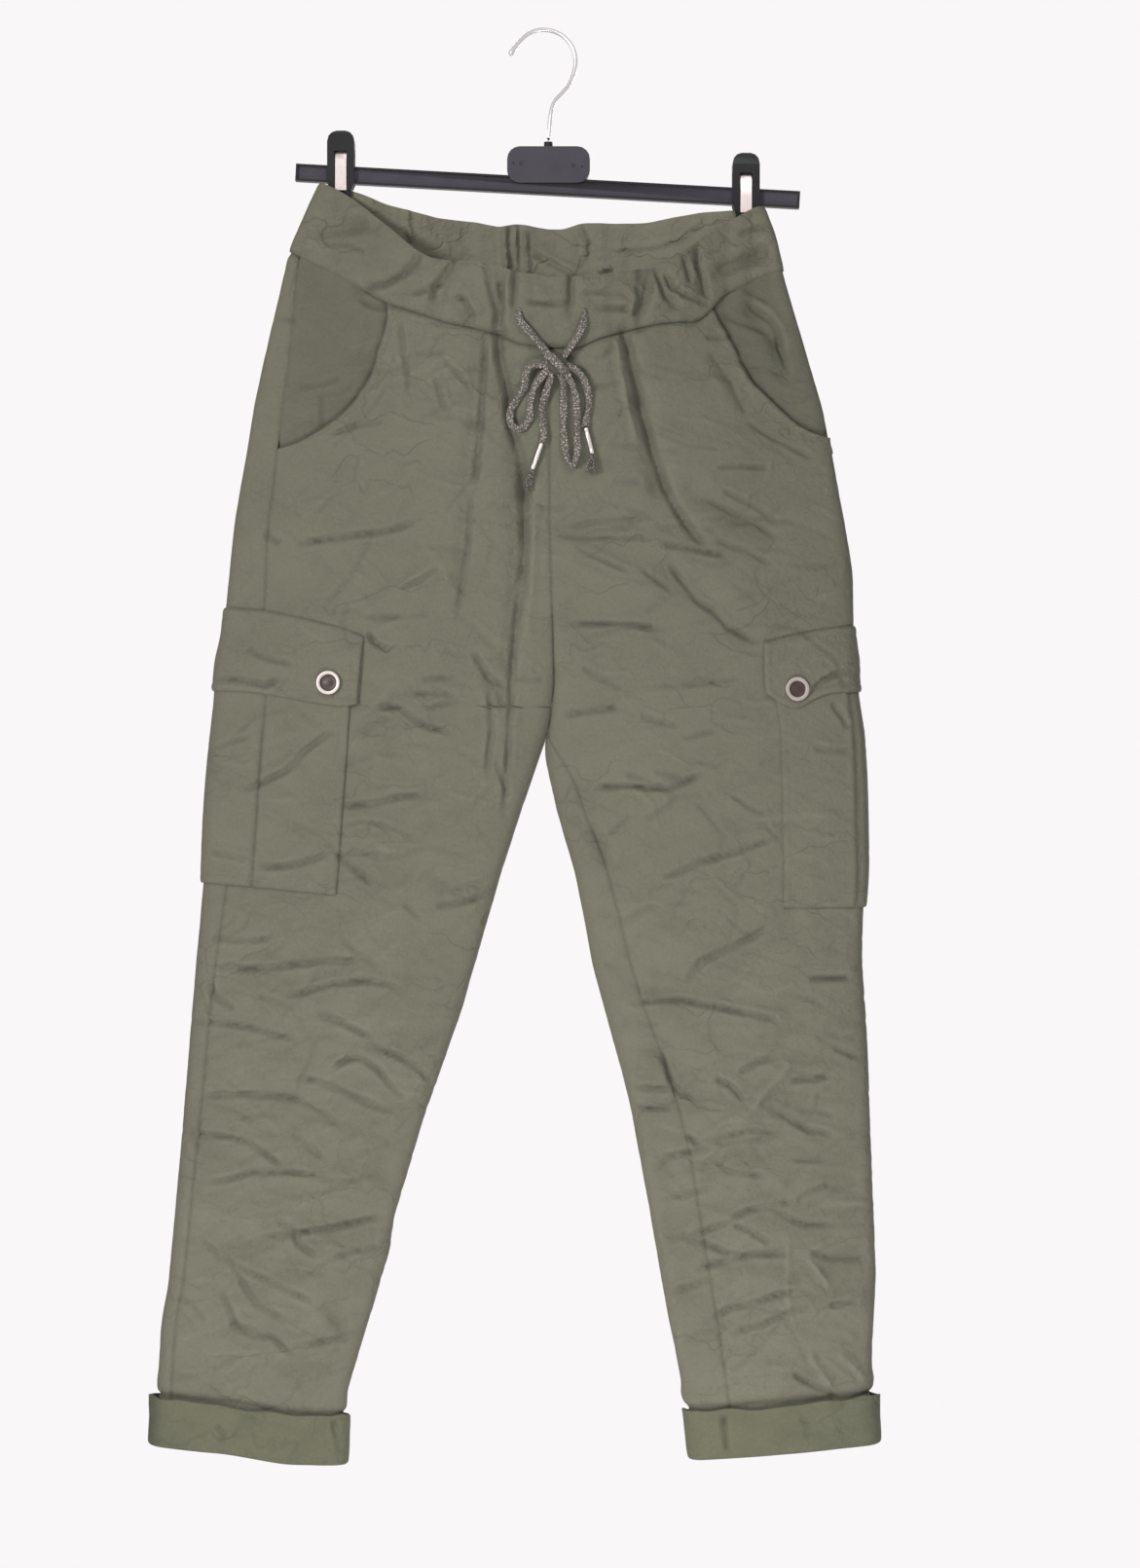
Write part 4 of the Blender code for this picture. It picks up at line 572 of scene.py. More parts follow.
# how deep a crease of each kind is, less than 0 for a ridge, and its half width
KINDS = {
    "gully": (5.0, 1.9),
    "fold": (4.4, 2.0),
    "sharp": (4.0, 1.4),
    "crease": (3.4, 1.5),
    "soft": (3.0, 3.6),
    "faint": (2.1, 1.3),
    "ridge": (-2.4, 2.0),
}
FRONT_CREASES = (
    # kind, then the points it runs through as x, z
    # waistband, right
    ("fold", (-128, -185), (-111, -183), (-99, -176), (-91, -168), (-85, -160)),
    ("soft", (-162, -146), (-143, -143), (-122, -137)),
    ("faint", (-158, -153), (-138, -154), (-124, -160)),
    ("sharp", (-61, -163), (-67, -174), (-77, -187), (-79, -200)),
    ("crease", (-70, -183), (-82, -189), (-93, -191)),
    ("sharp", (-62, -194), (-55, -197), (-52, -204), (-48, -212)),
    ("crease", (-41, -163), (-40, -176), (-36, -194), (-33, -208)),
    ("fold", (-31, -182), (-30, -204), (-34, -218)),
    ("crease", (-20, -170), (-20, -188), (-21, -206)),
    ("crease", (-14, -199), (2, -201), (22, -200)),
    ("ridge", (-25, -178), (-25, -204), (-26, -220)),
    # waistband, left
    ("sharp", (20, -172), (20, -186), (20, -204)),
    ("fold", (78, -166), (76, -184), (72, -196), (67, -210)),
    ("crease", (66, -186), (69, -196), (64, -209)),
    ("crease", (80, -168), (82, -181), (86, -194), (92, -198)),
    ("sharp", (86, -173), (91, -185), (99, -192), (111, -196), (119, -198)),
    ("sharp", (111, -152), (110, -170), (114, -179), (117, -197)),
    ("soft", (122, -172), (136, -167), (151, -162), (165, -156)),
    ("crease", (99, -162), (102, -174), (104, -184)),
    ("faint", (25, -193), (44, -192), (62, -194)),
    ("crease", (36, -204), (50, -203), (63, -204)),
    ("faint", (138, -146), (150, -142), (162, -141)),
    # right hip
    ("sharp", (-130, -193), (-121, -199), (-108, -201)),
    ("crease", (-192, -205), (-183, -206), (-175, -207)),
    ("faint", (-174, -255), (-156, -253), (-143, -249)),
    ("faint", (-158, -258), (-157, -272), (-158, -287)),
    ("faint", (-152, -291), (-137, -284), (-112, -280)),
    ("faint", (-101, -208), (-99, -226), (-96, -246), (-95, -262)),
    ("faint", (-92, -233), (-80, -234), (-68, -233)),
    ("faint", (-71, -238), (-60, -248), (-49, -260)),
    ("faint", (-77, -248), (-73, -262), (-68, -276)),
    ("crease", (-41, -216), (-42, -252), (-45, -296), (-49, -334)),
    ("gully", (-33, -216), (-31, -238), (-25, -260), (-24, -282), (-16, -308)),
    ("fold", (-16, -296), (-14, -330), (-13, -372), (-16, -402)),
    ("crease", (-15, -392), (-20, -430), (-22, -470), (-25, -520), (-28, -566)),
    ("ridge", (-7, -312), (-6, -352), (-8, -396), (-13, -440)),
    # left hip
    ("sharp", (144, -193), (155, -202), (163, -207), (168, -216), (170, -229), (176, -248)),
    ("ridge", (151, -192), (162, -199), (171, -212), (175, -230)),
    ("faint", (128, -186), (141, -184), (153, -189), (162, -196)),
    ("crease", (128, -203), (140, -209), (161, -216)),
    ("faint", (114, -222), (124, -221), (138, -220)),
    ("soft", (116, -230), (126, -242), (134, -252), (138, -263), (145, -276)),
    ("gully", (56, -213), (60, -228), (65, -248), (70, -272), (78, -302), (85, -322), (93, -340)),
    ("ridge", (51, -222), (55, -244), (60, -270), (68, -302)),
    ("fold", (84, -322), (93, -340), (102, -354), (116, -371)),
    ("faint", (122, -313), (140, -312), (162, -313)),
    ("faint", (143, -279), (162, -291), (193, -306)),
    ("faint", (32, -259), (44, -257), (57, -254)),
    ("faint", (36, -240), (44, -236), (52, -228)),
    # right thigh
    ("crease", (-178, -367), (-150, -363), (-126, -360), (-105, -357), (-88, -351)),
    ("crease", (-197, -356), (-196, -361), (-186, -366)),
    ("faint", (-50, -328), (-53, -368), (-58, -402), (-63, -424)),
    ("faint", (-102, -399), (-87, -393), (-73, -384)),
    ("faint", (-127, -420), (-102, -419), (-78, -416)),
    ("sharp", (-125, -429), (-118, -438), (-107, -443)),
    ("sharp", (-49, -443), (-43, -454), (-38, -462), (-26, -469)),
    ("soft", (-42, -456), (-34, -470), (-24, -484)),
    ("crease", (-38, -468), (-36, -498), (-40, -532)),
    ("faint", (-34, -518), (-29, -532), (-24, -548)),
    ("faint", (-22, -463), (-8, -463), (3, -463)),
    ("sharp", (-120, -482), (-101, -483), (-92, -490), (-80, -497), (-64, -500)),
    ("faint", (-82, -484), (-70, -480), (-57, -478)),
    ("faint", (-88, -463), (-72, -462), (-58, -461)),
    ("faint", (-94, -473), (-78, -473), (-60, -474)),
    ("crease", (-141, -500), (-153, -502), (-168, -513), (-181, -527), (-201, -537), (-217, -543)),
    ("faint", (-237, -514), (-222, -507), (-206, -503)),
    ("crease", (-145, -553), (-121, -551), (-101, -546), (-81, -545)),
    ("faint", (-142, -567), (-128, -563), (-116, -565), (-101, -570), (-88, -578)),
    ("crease", (-203, -596), (-181, -595), (-161, -590), (-150, -585)),
    ("crease", (-148, -586), (-139, -592), (-130, -600), (-120, -609)),
    ("faint", (-148, -587), (-130, -586), (-113, -586)),
    ("faint", (-238, -584), (-222, -588), (-207, -590)),
    ("crease", (-38, -616), (-58, -621), (-77, -624)),
    ("faint", (-99, -621), (-93, -627), (-86, -634)),
    ("faint", (-211, -440), (-192, -449), (-176, -452)),
    ("crease", (-232, -462), (-212, -463), (-196, -467), (-184, -462)),
    # left thigh
    ("crease", (83, -367), (101, -370), (132, -376)),
    ("faint", (18, -357), (38, -352), (73, -349)),
    ("faint", (8, -362), (40, -363), (78, -363)),
    ("faint", (22, -369), (40, -378), (63, -388)),
    ("crease", (88, -378), (99, -394), (110, -408), (122, -415), (131, -426), (155, -438)),
    ("faint", (68, -384), (80, -393), (93, -402)),
    ("faint", (112, -334), (131, -343), (152, -353), (168, -364)),
    ("faint", (126, -329), (146, -338), (166, -350)),
    ("faint", (120, -364), (142, -371), (163, -382)),
    ("sharp", (16, -424), (38, -424), (60, -424), (88, -428)),
    ("faint", (27, -454), (40, -462), (57, -471)),
    ("faint", (98, -467), (120, -465), (142, -462)),
    ("crease", (14, -488), (34, -485), (55, -482)),
    ("faint", (68, -489), (82, -493), (97, -496)),
    ("faint", (98, -505), (110, -502), (123, -499)),
    ("sharp", (32, -540), (60, -538), (88, -541), (100, -535), (117, -528)),
    ("faint", (57, -529), (74, -535), (88, -540)),
    ("faint", (78, -528), (88, -530), (99, -534)),
    ("faint", (72, -562), (86, -554), (97, -544)),
    ("faint", (46, -573), (54, -566), (62, -558)),
    ("faint", (133, -544), (145, -553), (158, -559)),
    ("crease", (82, -604), (100, -598), (111, -592), (126, -588), (141, -583), (167, -574)),
    ("soft", (30, -566), (40, -580), (44, -596)),
    ("faint", (190, -512), (206, -513), (222, -512)),
    ("crease", (204, -479), (210, -487), (217, -498)),
    ("sharp", (188, -472), (198, -463), (210, -458), (222, -456)),
    # right shin
    ("faint", (-240, -646), (-221, -648), (-192, -647)),
    ("crease", (-236, -666), (-213, -668), (-192, -667), (-171, -664), (-142, -662), (-124, -661)),
    ("faint", (-144, -645), (-132, -657), (-117, -667)),
    ("crease", (-184, -688), (-169, -684), (-148, -678), (-127, -676), (-108, -679), (-97, -685)),
    ("faint", (-206, -686), (-190, -691), (-174, -696)),
    ("crease", (-161, -699), (-145, -705), (-127, -714), (-118, -718)),
    ("crease", (-238, -676), (-234, -687), (-218, -697)),
    ("crease", (-258, -706), (-236, -706), (-208, -709), (-185, -716), (-171, -719)),
    ("crease", (-176, -745), (-158, -748), (-142, -755), (-119, -766), (-103, -771)),
    ("crease", (-243, -758), (-211, -757), (-184, -759), (-168, -761)),
    ("sharp", (-150, -739), (-138, -732), (-127, -732), (-116, -741), (-106, -754), (-97, -762)),
    ("sharp", (-129, -719), (-101, -731), (-90, -738), (-77, -752)),
    ("faint", (-172, -761), (-156, -770), (-142, -780)),
    ("faint", (-236, -764), (-218, -770), (-203, -778)),
    ("sharp", (-263, -783), (-245, -786), (-221, -788), (-208, -792), (-198, -799), (-181, -812)),
    ("crease", (-243, -821), (-221, -817), (-206, -812), (-174, -812), (-147, -817)),
    ("faint", (-179, -784), (-168, -792), (-156, -802)),
    ("faint", (-160, -819), (-146, -818), (-132, -818)),
    ("sharp", (-206, -860), (-184, -857), (-148, -852), (-119, -846), (-104, -846)),
    ("crease", (-192, -845), (-177, -854), (-173, -864), (-159, -873)),
    ("faint", (-244, -860), (-234, -868), (-229, -877)),
    ("crease", (-231, -869), (-219, -878), (-190, -891), (-161, -906)),
    ("crease", (-222, -877), (-212, -893), (-203, -907), (-182, -918)),
    ("crease", (-230, -894), (-219, -922), (-203, -930), (-192, -930), (-175, -948)),
    ("faint", (-150, -873), (-128, -868), (-109, -866)),
    ("crease", (-179, -936), (-158, -933), (-126, -927)),
    ("faint", (-186, -880), (-168, -884), (-153, -886)),
    ("faint", (-262, -900), (-248, -908), (-240, -920)),
    ("soft", (-158, -905), (-146, -918), (-138, -936)),
    # left shin
    ("crease", (162, -637), (147, -646), (131, -654), (112, -663), (98, -680)),
    ("sharp", (187, -675), (204, -675), (221, -675)),
    ("sharp", (57, -693), (81, -690), (99, -690), (120, -694), (162, -703), (171, -710)),
    ("faint", (66, -706), (74, -708), (83, -708)),
    ("sharp", (81, -726), (87, -738), (91, -749), (97, -757), (109, -760)),
    ("sharp", (121, -745), (133, -751), (143, -762)),
    ("crease", (137, -743), (152, -734), (170, -729)),
    ("ridge", (177, -732), (168, -743), (155, -757), (147, -769)),
    ("crease", (174, -747), (191, -746), (206, -744)),
    ("crease", (205, -723), (218, -729), (232, -734)),
    ("crease", (61, -753), (80, -753), (99, -753)),
    ("crease", (62, -767), (78, -768), (93, -767)),
    ("crease", (166, -769), (176, -776), (191, -783), (207, -786)),
    ("faint", (181, -769), (194, -769), (208, -773)),
    ("sharp", (102, -786), (106, -790), (112, -795)),
    ("crease", (118, -792), (131, -787), (147, -783), (171, -786)),
    ("faint", (122, -793), (141, -790), (168, -788)),
    ("crease", (79, -814), (89, -802), (102, -799), (121, -795)),
    ("faint", (121, -802), (131, -812), (159, -815)),
    ("faint", (175, -804), (188, -804), (201, -803)),
    ("faint", (79, -834), (99, -829), (123, -821)),
    ("crease", (179, -834), (189, -826), (206, -820)),
    ("crease", (131, -847), (144, -839), (160, -837), (178, -832)),
    ("crease", (160, -836), (176, -846), (187, -850), (206, -849)),
    ("crease", (84, -860), (107, -858), (115, -854), (135, -846)),
    ("crease", (134, -849), (147, -854), (162, -864)),
    ("crease", (97, -860), (112, -862), (131, -870), (149, -873)),
    ("crease", (105, -884), (120, -878), (147, -871), (183, -871)),
    ("crease", (187, -869), (204, -874), (235, -875)),
    ("ridge", (187, -873), (195, -882), (204, -895)),
    ("crease", (87, -900), (102, -895), (120, -888)),
    ("crease", (118, -918), (133, -909), (152, -904), (183, -894)),
    ("crease", (134, -926), (157, -920), (176, -911), (193, -907)),
    ("crease", (202, -907), (213, -906), (225, -905)),
    ("faint", (96, -937), (108, -929), (122, -924)),
    ("sharp", (176, -955), (191, -963), (210, -974)),
    ("ridge", (188, -940), (197, -954), (206, -967)),
    ("ridge", (210, -941), (219, -950), (230, -961)),
    # turned-up hems
    ("sharp", (128, -984), (129, -998), (131, -1012)),
    ("faint", (-276, -984), (-277, -996), (-278, -1004)),
    ("sharp", (-149, -988), (-147, -1002), (-146, -1014)),
    ("faint", (182, -984), (188, -992), (186, -1002)),
    ("faint", (-232, -990), (-226, -998), (-229, -1006)),
)
REAR_CREASES = (
    # kind, then the points it runs through as x, z
    ("fold", (-29, -134), (-28, -152), (-26, -170)),
    ("fold", (-20, -133), (-20, -150), (-19, -170)),
    ("crease", (-14, -134), (-13, -151), (-11, -172)),
    ("crease", (-12, -153), (8, -163), (26, -172)),
    ("gully", (39, -168), (50, -166)),
    ("crease", (-98, -124), (-97, -138), (-94, -150)),
    ("faint", (43, -153), (62, -152), (81, -151), (96, -147), (109, -138), (117, -129)),
    ("crease", (24, -134), (31, -146), (30, -160)),
    ("fold", (52, -190), (60, -240), (66, -292)),
    ("fold", (-50, -190), (-58, -236), (-68, -290)),
    ("crease", (6, -200), (3, -300), (8, -420)),
    ("sharp", (-150, -262), (-120, -274), (-92, -276)),
    ("sharp", (140, -250), (112, -268), (84, -270)),
    ("sharp", (-182, -392), (-140, -404), (-96, -398), (-60, -410)),
    ("sharp", (170, -382), (132, -398), (96, -392), (52, -412)),
    ("fold", (-96, -442), (-62, -456), (-26, -478)),
    ("fold", (92, -438), (60, -455), (30, -478)),
)
REAR_LEG_TOP = -492.0
# the hidden side of the legs is crushed like the front, the other way round
REAR_LEG_CREASES = tuple(
    (kind, *((-x, z) for x, z in points)) for kind, *points in FRONT_CREASES
    if max(z for _, z in points) < REAR_LEG_TOP)

FIELD_STEP = 0.8
FIELD_LEFT = -300.0
FIELD_RIGHT = 262.0
FIELD_LOW = -1062.0
FIELD_HIGH = -96.0
CREASE_REACH = 5.5
CREASE_ROUND = 0.6
CREASE_LIP = 0.22
LIP_AT = 2.6
LIP_HALF = 1.2
CREASE_THIN = 0.16
PAINTED_LINE_WIDTH = 0.95
SMALL_CREASES = 420
FOLD_STRENGTH = 1.5
CRUSH_STRENGTH = 1.6
PUCKER_DROP = 16.0

field_x, field_z = np.meshgrid(
    np.arange(FIELD_LEFT, FIELD_RIGHT, FIELD_STEP), np.arange(FIELD_LOW, FIELD_HIGH, FIELD_STEP))


def folds(rows, x, z):
    """Height of all the soft folds of a table at a point of the cloth."""
    total = np.zeros(np.broadcast(x, z).shape)
    for x0, z0, x1, z1, half_width, height in rows:
        run = np.hypot(x1 - x0, z1 - z0)
        along = ((x - x0) * (x1 - x0) + (z - z0) * (z1 - z0)) / (run * run)
        beside = ((x - x0) * (z1 - z0) - (z - z0) * (x1 - x0)) / run
        over = np.maximum(np.maximum(-along, along - 1.0) * run, 0.0)
        total = total + height * np.exp(-(beside ** 2 + over ** 2) / half_width ** 2)
    return total


def press(field, painted_lines, points, depth, half_width):
    """Press one crease into a field: uneven on its way and thin at both ends. The other
    field keeps how strong a painted shade line along its bottom is."""
    points = np.array(points, float)
    reach = CREASE_REACH * half_width
    low = points.min(axis=0) - reach
    high = points.max(axis=0) + reach
    (left, bottom), (right, top) = (
        [max(int(cell), 0) for cell in (corner - (FIELD_LEFT, FIELD_LOW)) / FIELD_STEP]
        for corner in (low, high))
    part = (slice(bottom, top), slice(left, right))
    x = field_x[part]
    z = field_z[part]
    runs = np.linalg.norm(np.diff(points, axis=0), axis=1)
    nearest = np.full(x.shape, 1.0e6)
    place = np.zeros(x.shape)
    start = 0.0
    for (x0, z0), (x1, z1), run in zip(points, points[1:], runs):
        share = ((x - x0) * (x1 - x0) + (z - z0) * (z1 - z0)) / (run * run)
        share = np.clip(share, 0.0, 1.0)
        away = np.hypot(x - x0 - share * (x1 - x0), z - z0 - share * (z1 - z0))
        closer = away < nearest
        nearest = np.where(closer, away, nearest)
        place = np.where(closer, start + share * run, place)
        start += run
    thin = CREASE_THIN * start
    strength = ease(place / thin) * ease((start - place) / thin)
    strength = strength * (0.82 + 0.18 * np.sin(place / 5.5 + points[0, 0]))
    line = np.exp((CREASE_ROUND - np.hypot(nearest, CREASE_ROUND)) / half_width)
    lip = CREASE_LIP * hump(nearest / half_width - LIP_AT, LIP_HALF)
    field[part] -= depth * strength * (line - lip)
    # painted shade line along the bottom of each trough
    if depth > 0.0:
        mark = strength * min(depth / 3.0, 1.0) * hump(nearest, PAINTED_LINE_WIDTH)
        painted_lines[part] = np.maximum(painted_lines[part], mark)


def between(grid, row, column, up, across):
    """Value inside a cell of a grid, at a share of the way up and across it."""
    low = grid[row, column] * (1.0 - across) + grid[row, column + 1] * across
    high = grid[row + 1, column] * (1.0 - across) + grid[row + 1, column + 1] * across
    return low * (1.0 - up) + high * up


def mottle(chance, along, across, angle=0.0):
    """Smooth random field from -1 to 1, in cells of a length and a width."""
    way = math.radians(angle)
    a = (field_x * math.cos(way) + field_z * math.sin(way)) / along
    b = (field_z * math.cos(way) - field_x * math.sin(way)) / across
    a = a - a.min()
    b = b - b.min()
    cell_a = a.astype(int)
    cell_b = b.astype(int)
    knots = chance.uniform(-1.0, 1.0, (cell_b.max() + 2, cell_a.max() + 2))
    a = ease(a - cell_a)
    b = ease(b - cell_b)
    return between(knots, cell_b, cell_a, b, a)


def crinkle(chance):
    """Fine crushed lines that cross each other at low angles."""
    total = np.zeros(field_x.shape)
    for along, across, angle, height in (
            (64.0, 15.0, -14.0, 0.42), (58.0, 13.0, 21.0, 0.38), (40.0, 10.0, -38.0, 0.24),
            (30.0, 8.0, 47.0, 0.18), (17.0, 6.0, 8.0, 0.12)):
        ridge = 1.0 - np.abs(mottle(chance, along, across, angle)) * 2.2
        total += height * np.clip(ridge, 0.0, 1.0) ** 2 * np.sign(0.3 - chance.random())
    return total


def small_creases(field, painted_lines, chance):
    """Short crushed creases all over the legs, mostly across them."""
    for _ in range(SMALL_CREASES):
        side = chance.choice((-1, 1))
        z = chance.uniform(-972.0, -225.0)
        share = chance.uniform(0.04, 0.96)
        x = inner_x(side, z) + side * ring_width(side, z) * share
        length = chance.uniform(12.0, 44.0)
        way = math.radians(chance.normal(-4.0 * side, 27.0))
        bend = math.radians(chance.normal(0.0, 24.0))
        first = np.array([x, z])
        middle = first + length * np.array([math.cos(way), math.sin(way)])
        last = middle + 0.7 * length * np.array([math.cos(way + bend), math.sin(way + bend)])
        depth = chance.uniform(0.3, 1.1) * (1.0 if chance.random() < 0.6 else -1.0)
        press(field, painted_lines, (first, middle, last), depth, chance.uniform(1.0, 1.7))


def calm(field, x, z, radius, share):
    """Quieten a field round one point, where something is sewn on or knotted."""
    near = np.exp(-((field_x - x) ** 2 + (field_z - z) ** 2) / radius ** 2)
    field *= 1.0 - share * near


def cloth_fields(soft_folds, creases, edges, seed):
    """Soft form, fine creases and painted shade lines of the front or the rear, seen flat."""
    chance = np.random.default_rng(seed)
    seam = read(edges, 2, field_x)
    below = np.maximum(seam - field_z, 0.0)
    pucker = mottle(chance, 11.0, 260.0) * 1.3 + mottle(chance, 6.0, 200.0) * 0.6
    bulk = FOLD_STRENGTH * folds(soft_folds, field_x, field_z)
    bulk += 1.2 * mottle(chance, 70.0, 46.0, 12.0) + 0.6 * mottle(chance, 30.0, 22.0, -18.0)
    bulk += pucker * np.exp(-below / PUCKER_DROP)
    fine = CRUSH_STRENGTH * crinkle(chance) * read(CRUSH, 1, field_z)
    line = np.zeros(field_x.shape)
    small_creases(fine, line, chance)
    for kind, *points in creases:
        depth, half_width = KINDS[kind]
        press(fine, line, points, depth, half_width)
    return bulk, fine, line


CRUSH = (
    # z, share of the fine crushed lines
    (-100, 0.9),
    (-200, 0.55),
    (-330, 0.5),
    (-520, 0.6),
    (-680, 0.85),
    (-820, 1),
    (-1000, 0.8),
)
BUTTONS = {-1: (81.0, -465.5), 1: (44.0, -470.0)}
KNOT_CENTRE = (10.0, -243.0)
BOW_DROP = 26.0

front_bulk, front_fine, front_painted_lines = cloth_fields(FRONT_FOLDS, FRONT_CREASES, FRONT_EDGES, 11)
rear_bulk, rear_fine, rear_painted_lines = cloth_fields(
    REAR_FOLDS, REAR_CREASES + REAR_LEG_CREASES, REAR_EDGES, 29)
for button_side, (button_distance, button_z) in BUTTONS.items():
    button_x = float(outer_x(button_side, button_z)) - button_side * button_distance
    calm(front_fine, button_x, button_z, radius=13.0, share=0.9)
calm(front_fine, KNOT_CENTRE[0], KNOT_CENTRE[1] - BOW_DROP, radius=34.0, share=0.6)


def sample(field, x, z):
    column = np.clip((x - FIELD_LEFT) / FIELD_STEP, 0.0, field.shape[1] - 1.001)
    row = np.clip((z - FIELD_LOW) / FIELD_STEP, 0.0, field.shape[0] - 1.001)
    c = column.astype(int)
    r = row.astype(int)
    return between(field, r, c, row - r, column - c)


FIELD_BLEND = 12.0
FOLD_FADE = 14.0
FOLD_SHARE = 0.3


def relief(side, turn, z):
    """Soft form, creases and painted shade lines at a turn of the ring; front and rear run
    into each other at the folds of the leg."""
    turn, z = paired(turn, z)
    x = ring_point(side, turn, z)[..., 0]
    from_outer = ring_width(side, z) * (1.0 + np.cos(math.pi * turn)) / 2.0
    from_inner = ring_width(side, z) - from_outer
    centre = read(DEPTH, 6, z)
    shared = 0.5 * (1.0 - ease(from_outer / FIELD_BLEND))
    shared = shared + 0.5 * (1.0 - ease(from_inner / FIELD_BLEND)) * (1.0 - centre)
    front_share = np.where(is_front(turn), 1.0 - shared, shared)
    outer_fade, inner_fade = (FOLD_SHARE + (1.0 - FOLD_SHARE) * ease(distance / FOLD_FADE)
                              for distance in (from_outer, from_inner))
    fade = outer_fade * (centre + (1.0 - centre) * inner_fade)
    bulk, fine, line = (
        front_share * sample(front, x, z) + (1.0 - front_share) * sample(rear, x, z)
        for front, rear in ((front_bulk, rear_bulk), (front_fine, rear_fine),
                            (front_painted_lines, rear_painted_lines)))
    return bulk * fade, fine * fade, line


# ---------------------------------------------------------------- drawstring

CORD_WIDTH = 5.4
CORD_THICKNESS = 2.5
CORD_STEP = 1.3
CORD_SIDES = 14
CORD_TWIST = math.radians(46.0)
TWIST_RUN = 9.0
SECTION_POWER = 0.7
KNOT_RADII = (8.6, 5.2, 9.2)
KNOT_SLANT = Matrix.Rotation(math.radians(-38.0), 3, "Y")
KNOT_STAND_OFF = 7.6
WRAP_SIDES = 12
WRAP_WIDTH = 1.12 * CORD_WIDTH
WRAP_RADIUS = 8.0
CORD_PATHS = {
    # side: x, z and how far the middle line stands off the trousers, from the slit in the
    # waistband through the knot, round the loop, through the knot again and down the tail
    -1: (
        (-17.4, -205, -0.6), (-16.8, -208.6, 1.6), (-15.5, -213.5, 3.3), (-9, -220.5, 5.2),
        (-3.6, -227.4, 6.6), (2.6, -235, 7.4), (4, -242, 7.4), (-1, -244, 7.2),
        (-8.4, -244.4, 6.2), (-12, -250.4, 5), (-12.8, -258, 4.4), (-17, -266, 3.8),
        (-22.6, -274.5, 3.8), (-22, -284.5, 4), (-14.5, -287, 4.4), (-9.4, -280, 4.8),
        (-8.8, -270, 5), (-5.6, -258.6, 6), (1, -250, 7.4), (6, -245, 7.6),
        (5.6, -252, 7), (2.4, -262.4, 5.2), (-0.2, -272, 4.2), (0.2, -284, 3.8),
        (0.6, -291, 3.8), (-0.6, -297.2, 3.9),
    ),
    1: (
        (30.4, -205, -0.6), (29.9, -208.6, 1.6), (29, -213.5, 3.3), (26, -221, 5.2),
        (21.8, -228, 6.6), (16, -236, 7.4), (12, -242, 7.8), (12.6, -250, 7.4),
        (14.6, -257, 6.4), (14.6, -265, 5.2), (14.6, -278, 4.2), (14.8, -292, 4),
        (16.6, -305.5, 4), (20.6, -312.6, 4), (23.8, -306, 4.2), (24.2, -292, 4.4),
        (24.2, -277, 4.8), (22.8, -263, 5.8), (18, -252, 7.4), (14, -245.6, 7.8),
        (19, -245, 7.4), (24, -247.6, 6.8), (28.4, -252.6, 5.8), (31.8, -261.6, 4.8),
        (32.6, -271, 4), (30.8, -280, 3.8), (30, -286, 3.9),
    ),
}
# side: start x and z, end x and z, stand-off
AGLETS = {-1: (-0.8, -297.7, -7.4, -315.8, 4.0), 1: (30.15, -287.0, 34.6, -304.8, 4.0)}
TUFTS = {-1: (-7.6, -316.5, -11.0, -329.0, 5.4), 1: (34.8, -305.6, 33.4, -318.0, 4.8)}
AGLET_RADIUS = 1.75
# shares of the half length where the tube is cut, and its width at the crimp and the ends
CRIMP_AT = 0.66
AGLET_CUTS = (0.94, 0.72, CRIMP_AT, 0.6, -0.6, -CRIMP_AT, -0.72, -0.94)
CRIMP_WIDTH = 0.88
END_WIDTH = 0.84
TUFT_STRANDS = 46
FRAY_SEED = 5


def front_y(x, z):
    """Outer face of the trousers' front at a point near the centre."""
    side = -1 if x < inner_x(-1, z) else 1
    turn = turn_across(side, abs(x - float(inner_x(side, z))), z)
    return float(ring_point(side, turn, z)[1]) - float(folds(FRONT_FOLDS, x, z))


def smooth_run(points, spacing):
    """Points at even steps along a smooth curve through the given ones."""
    knots = np.array(points, float)
    ends = np.vstack([2.0 * knots[0] - knots[1], knots, 2.0 * knots[-1] - knots[-2]])
    fine = []
    for i in range(len(knots) - 1):
        a, b, c, d = ends[i:i + 4]
        for step in np.linspace(0.0, 1.0, 20, endpoint=False):
            fine.append(0.5 * (
                2.0 * b + (c - a) * step + (2.0 * a - 5.0 * b + 4.0 * c - d) * step ** 2
                + (3.0 * b - a - 3.0 * c + d) * step ** 3))
    fine.append(knots[-1])
    fine = np.array(fine)
    run = run_along(fine)
    marks = np.linspace(0.0, run[-1], max(3, int(round(run[-1] / spacing)) + 1))
    return at_marks(marks, run, fine)


def add_piece(name, mesh, material):
    piece = bpy.data.objects.new(name, mesh)
    bpy.context.scene.collection.objects.link(piece)
    mesh.materials.append(material)
    return piece


def set_uv(mesh, uv):
    layer = mesh.uv_layers.new(name="cloth")
    corners = np.empty(len(mesh.loops), dtype=np.int32)
    mesh.loops.foreach_get("vertex_index", corners)
    layer.data.foreach_set("uv", np.asarray(uv, np.float32)[corners].ravel())


def set_value(mesh, name, values):
    attribute = mesh.attributes.new(name, "FLOAT", "POINT")
    attribute.data.foreach_set("value", np.asarray(values, np.float32).ravel())


def new_mesh(name, verts, faces):
    """Smooth mesh of points in millimetres, its faces turned outwards."""
    mesh = bpy.data.meshes.new(name)
    mesh.from_pydata((np.asarray(verts) * MM).tolist(), [], faces)
    shape = bmesh.new()
    shape.from_mesh(mesh)
    bmesh.ops.recalc_face_normals(shape, faces=shape.faces)
    shape.to_mesh(mesh)
    shape.free()
    mesh.shade_smooth()
    return mesh


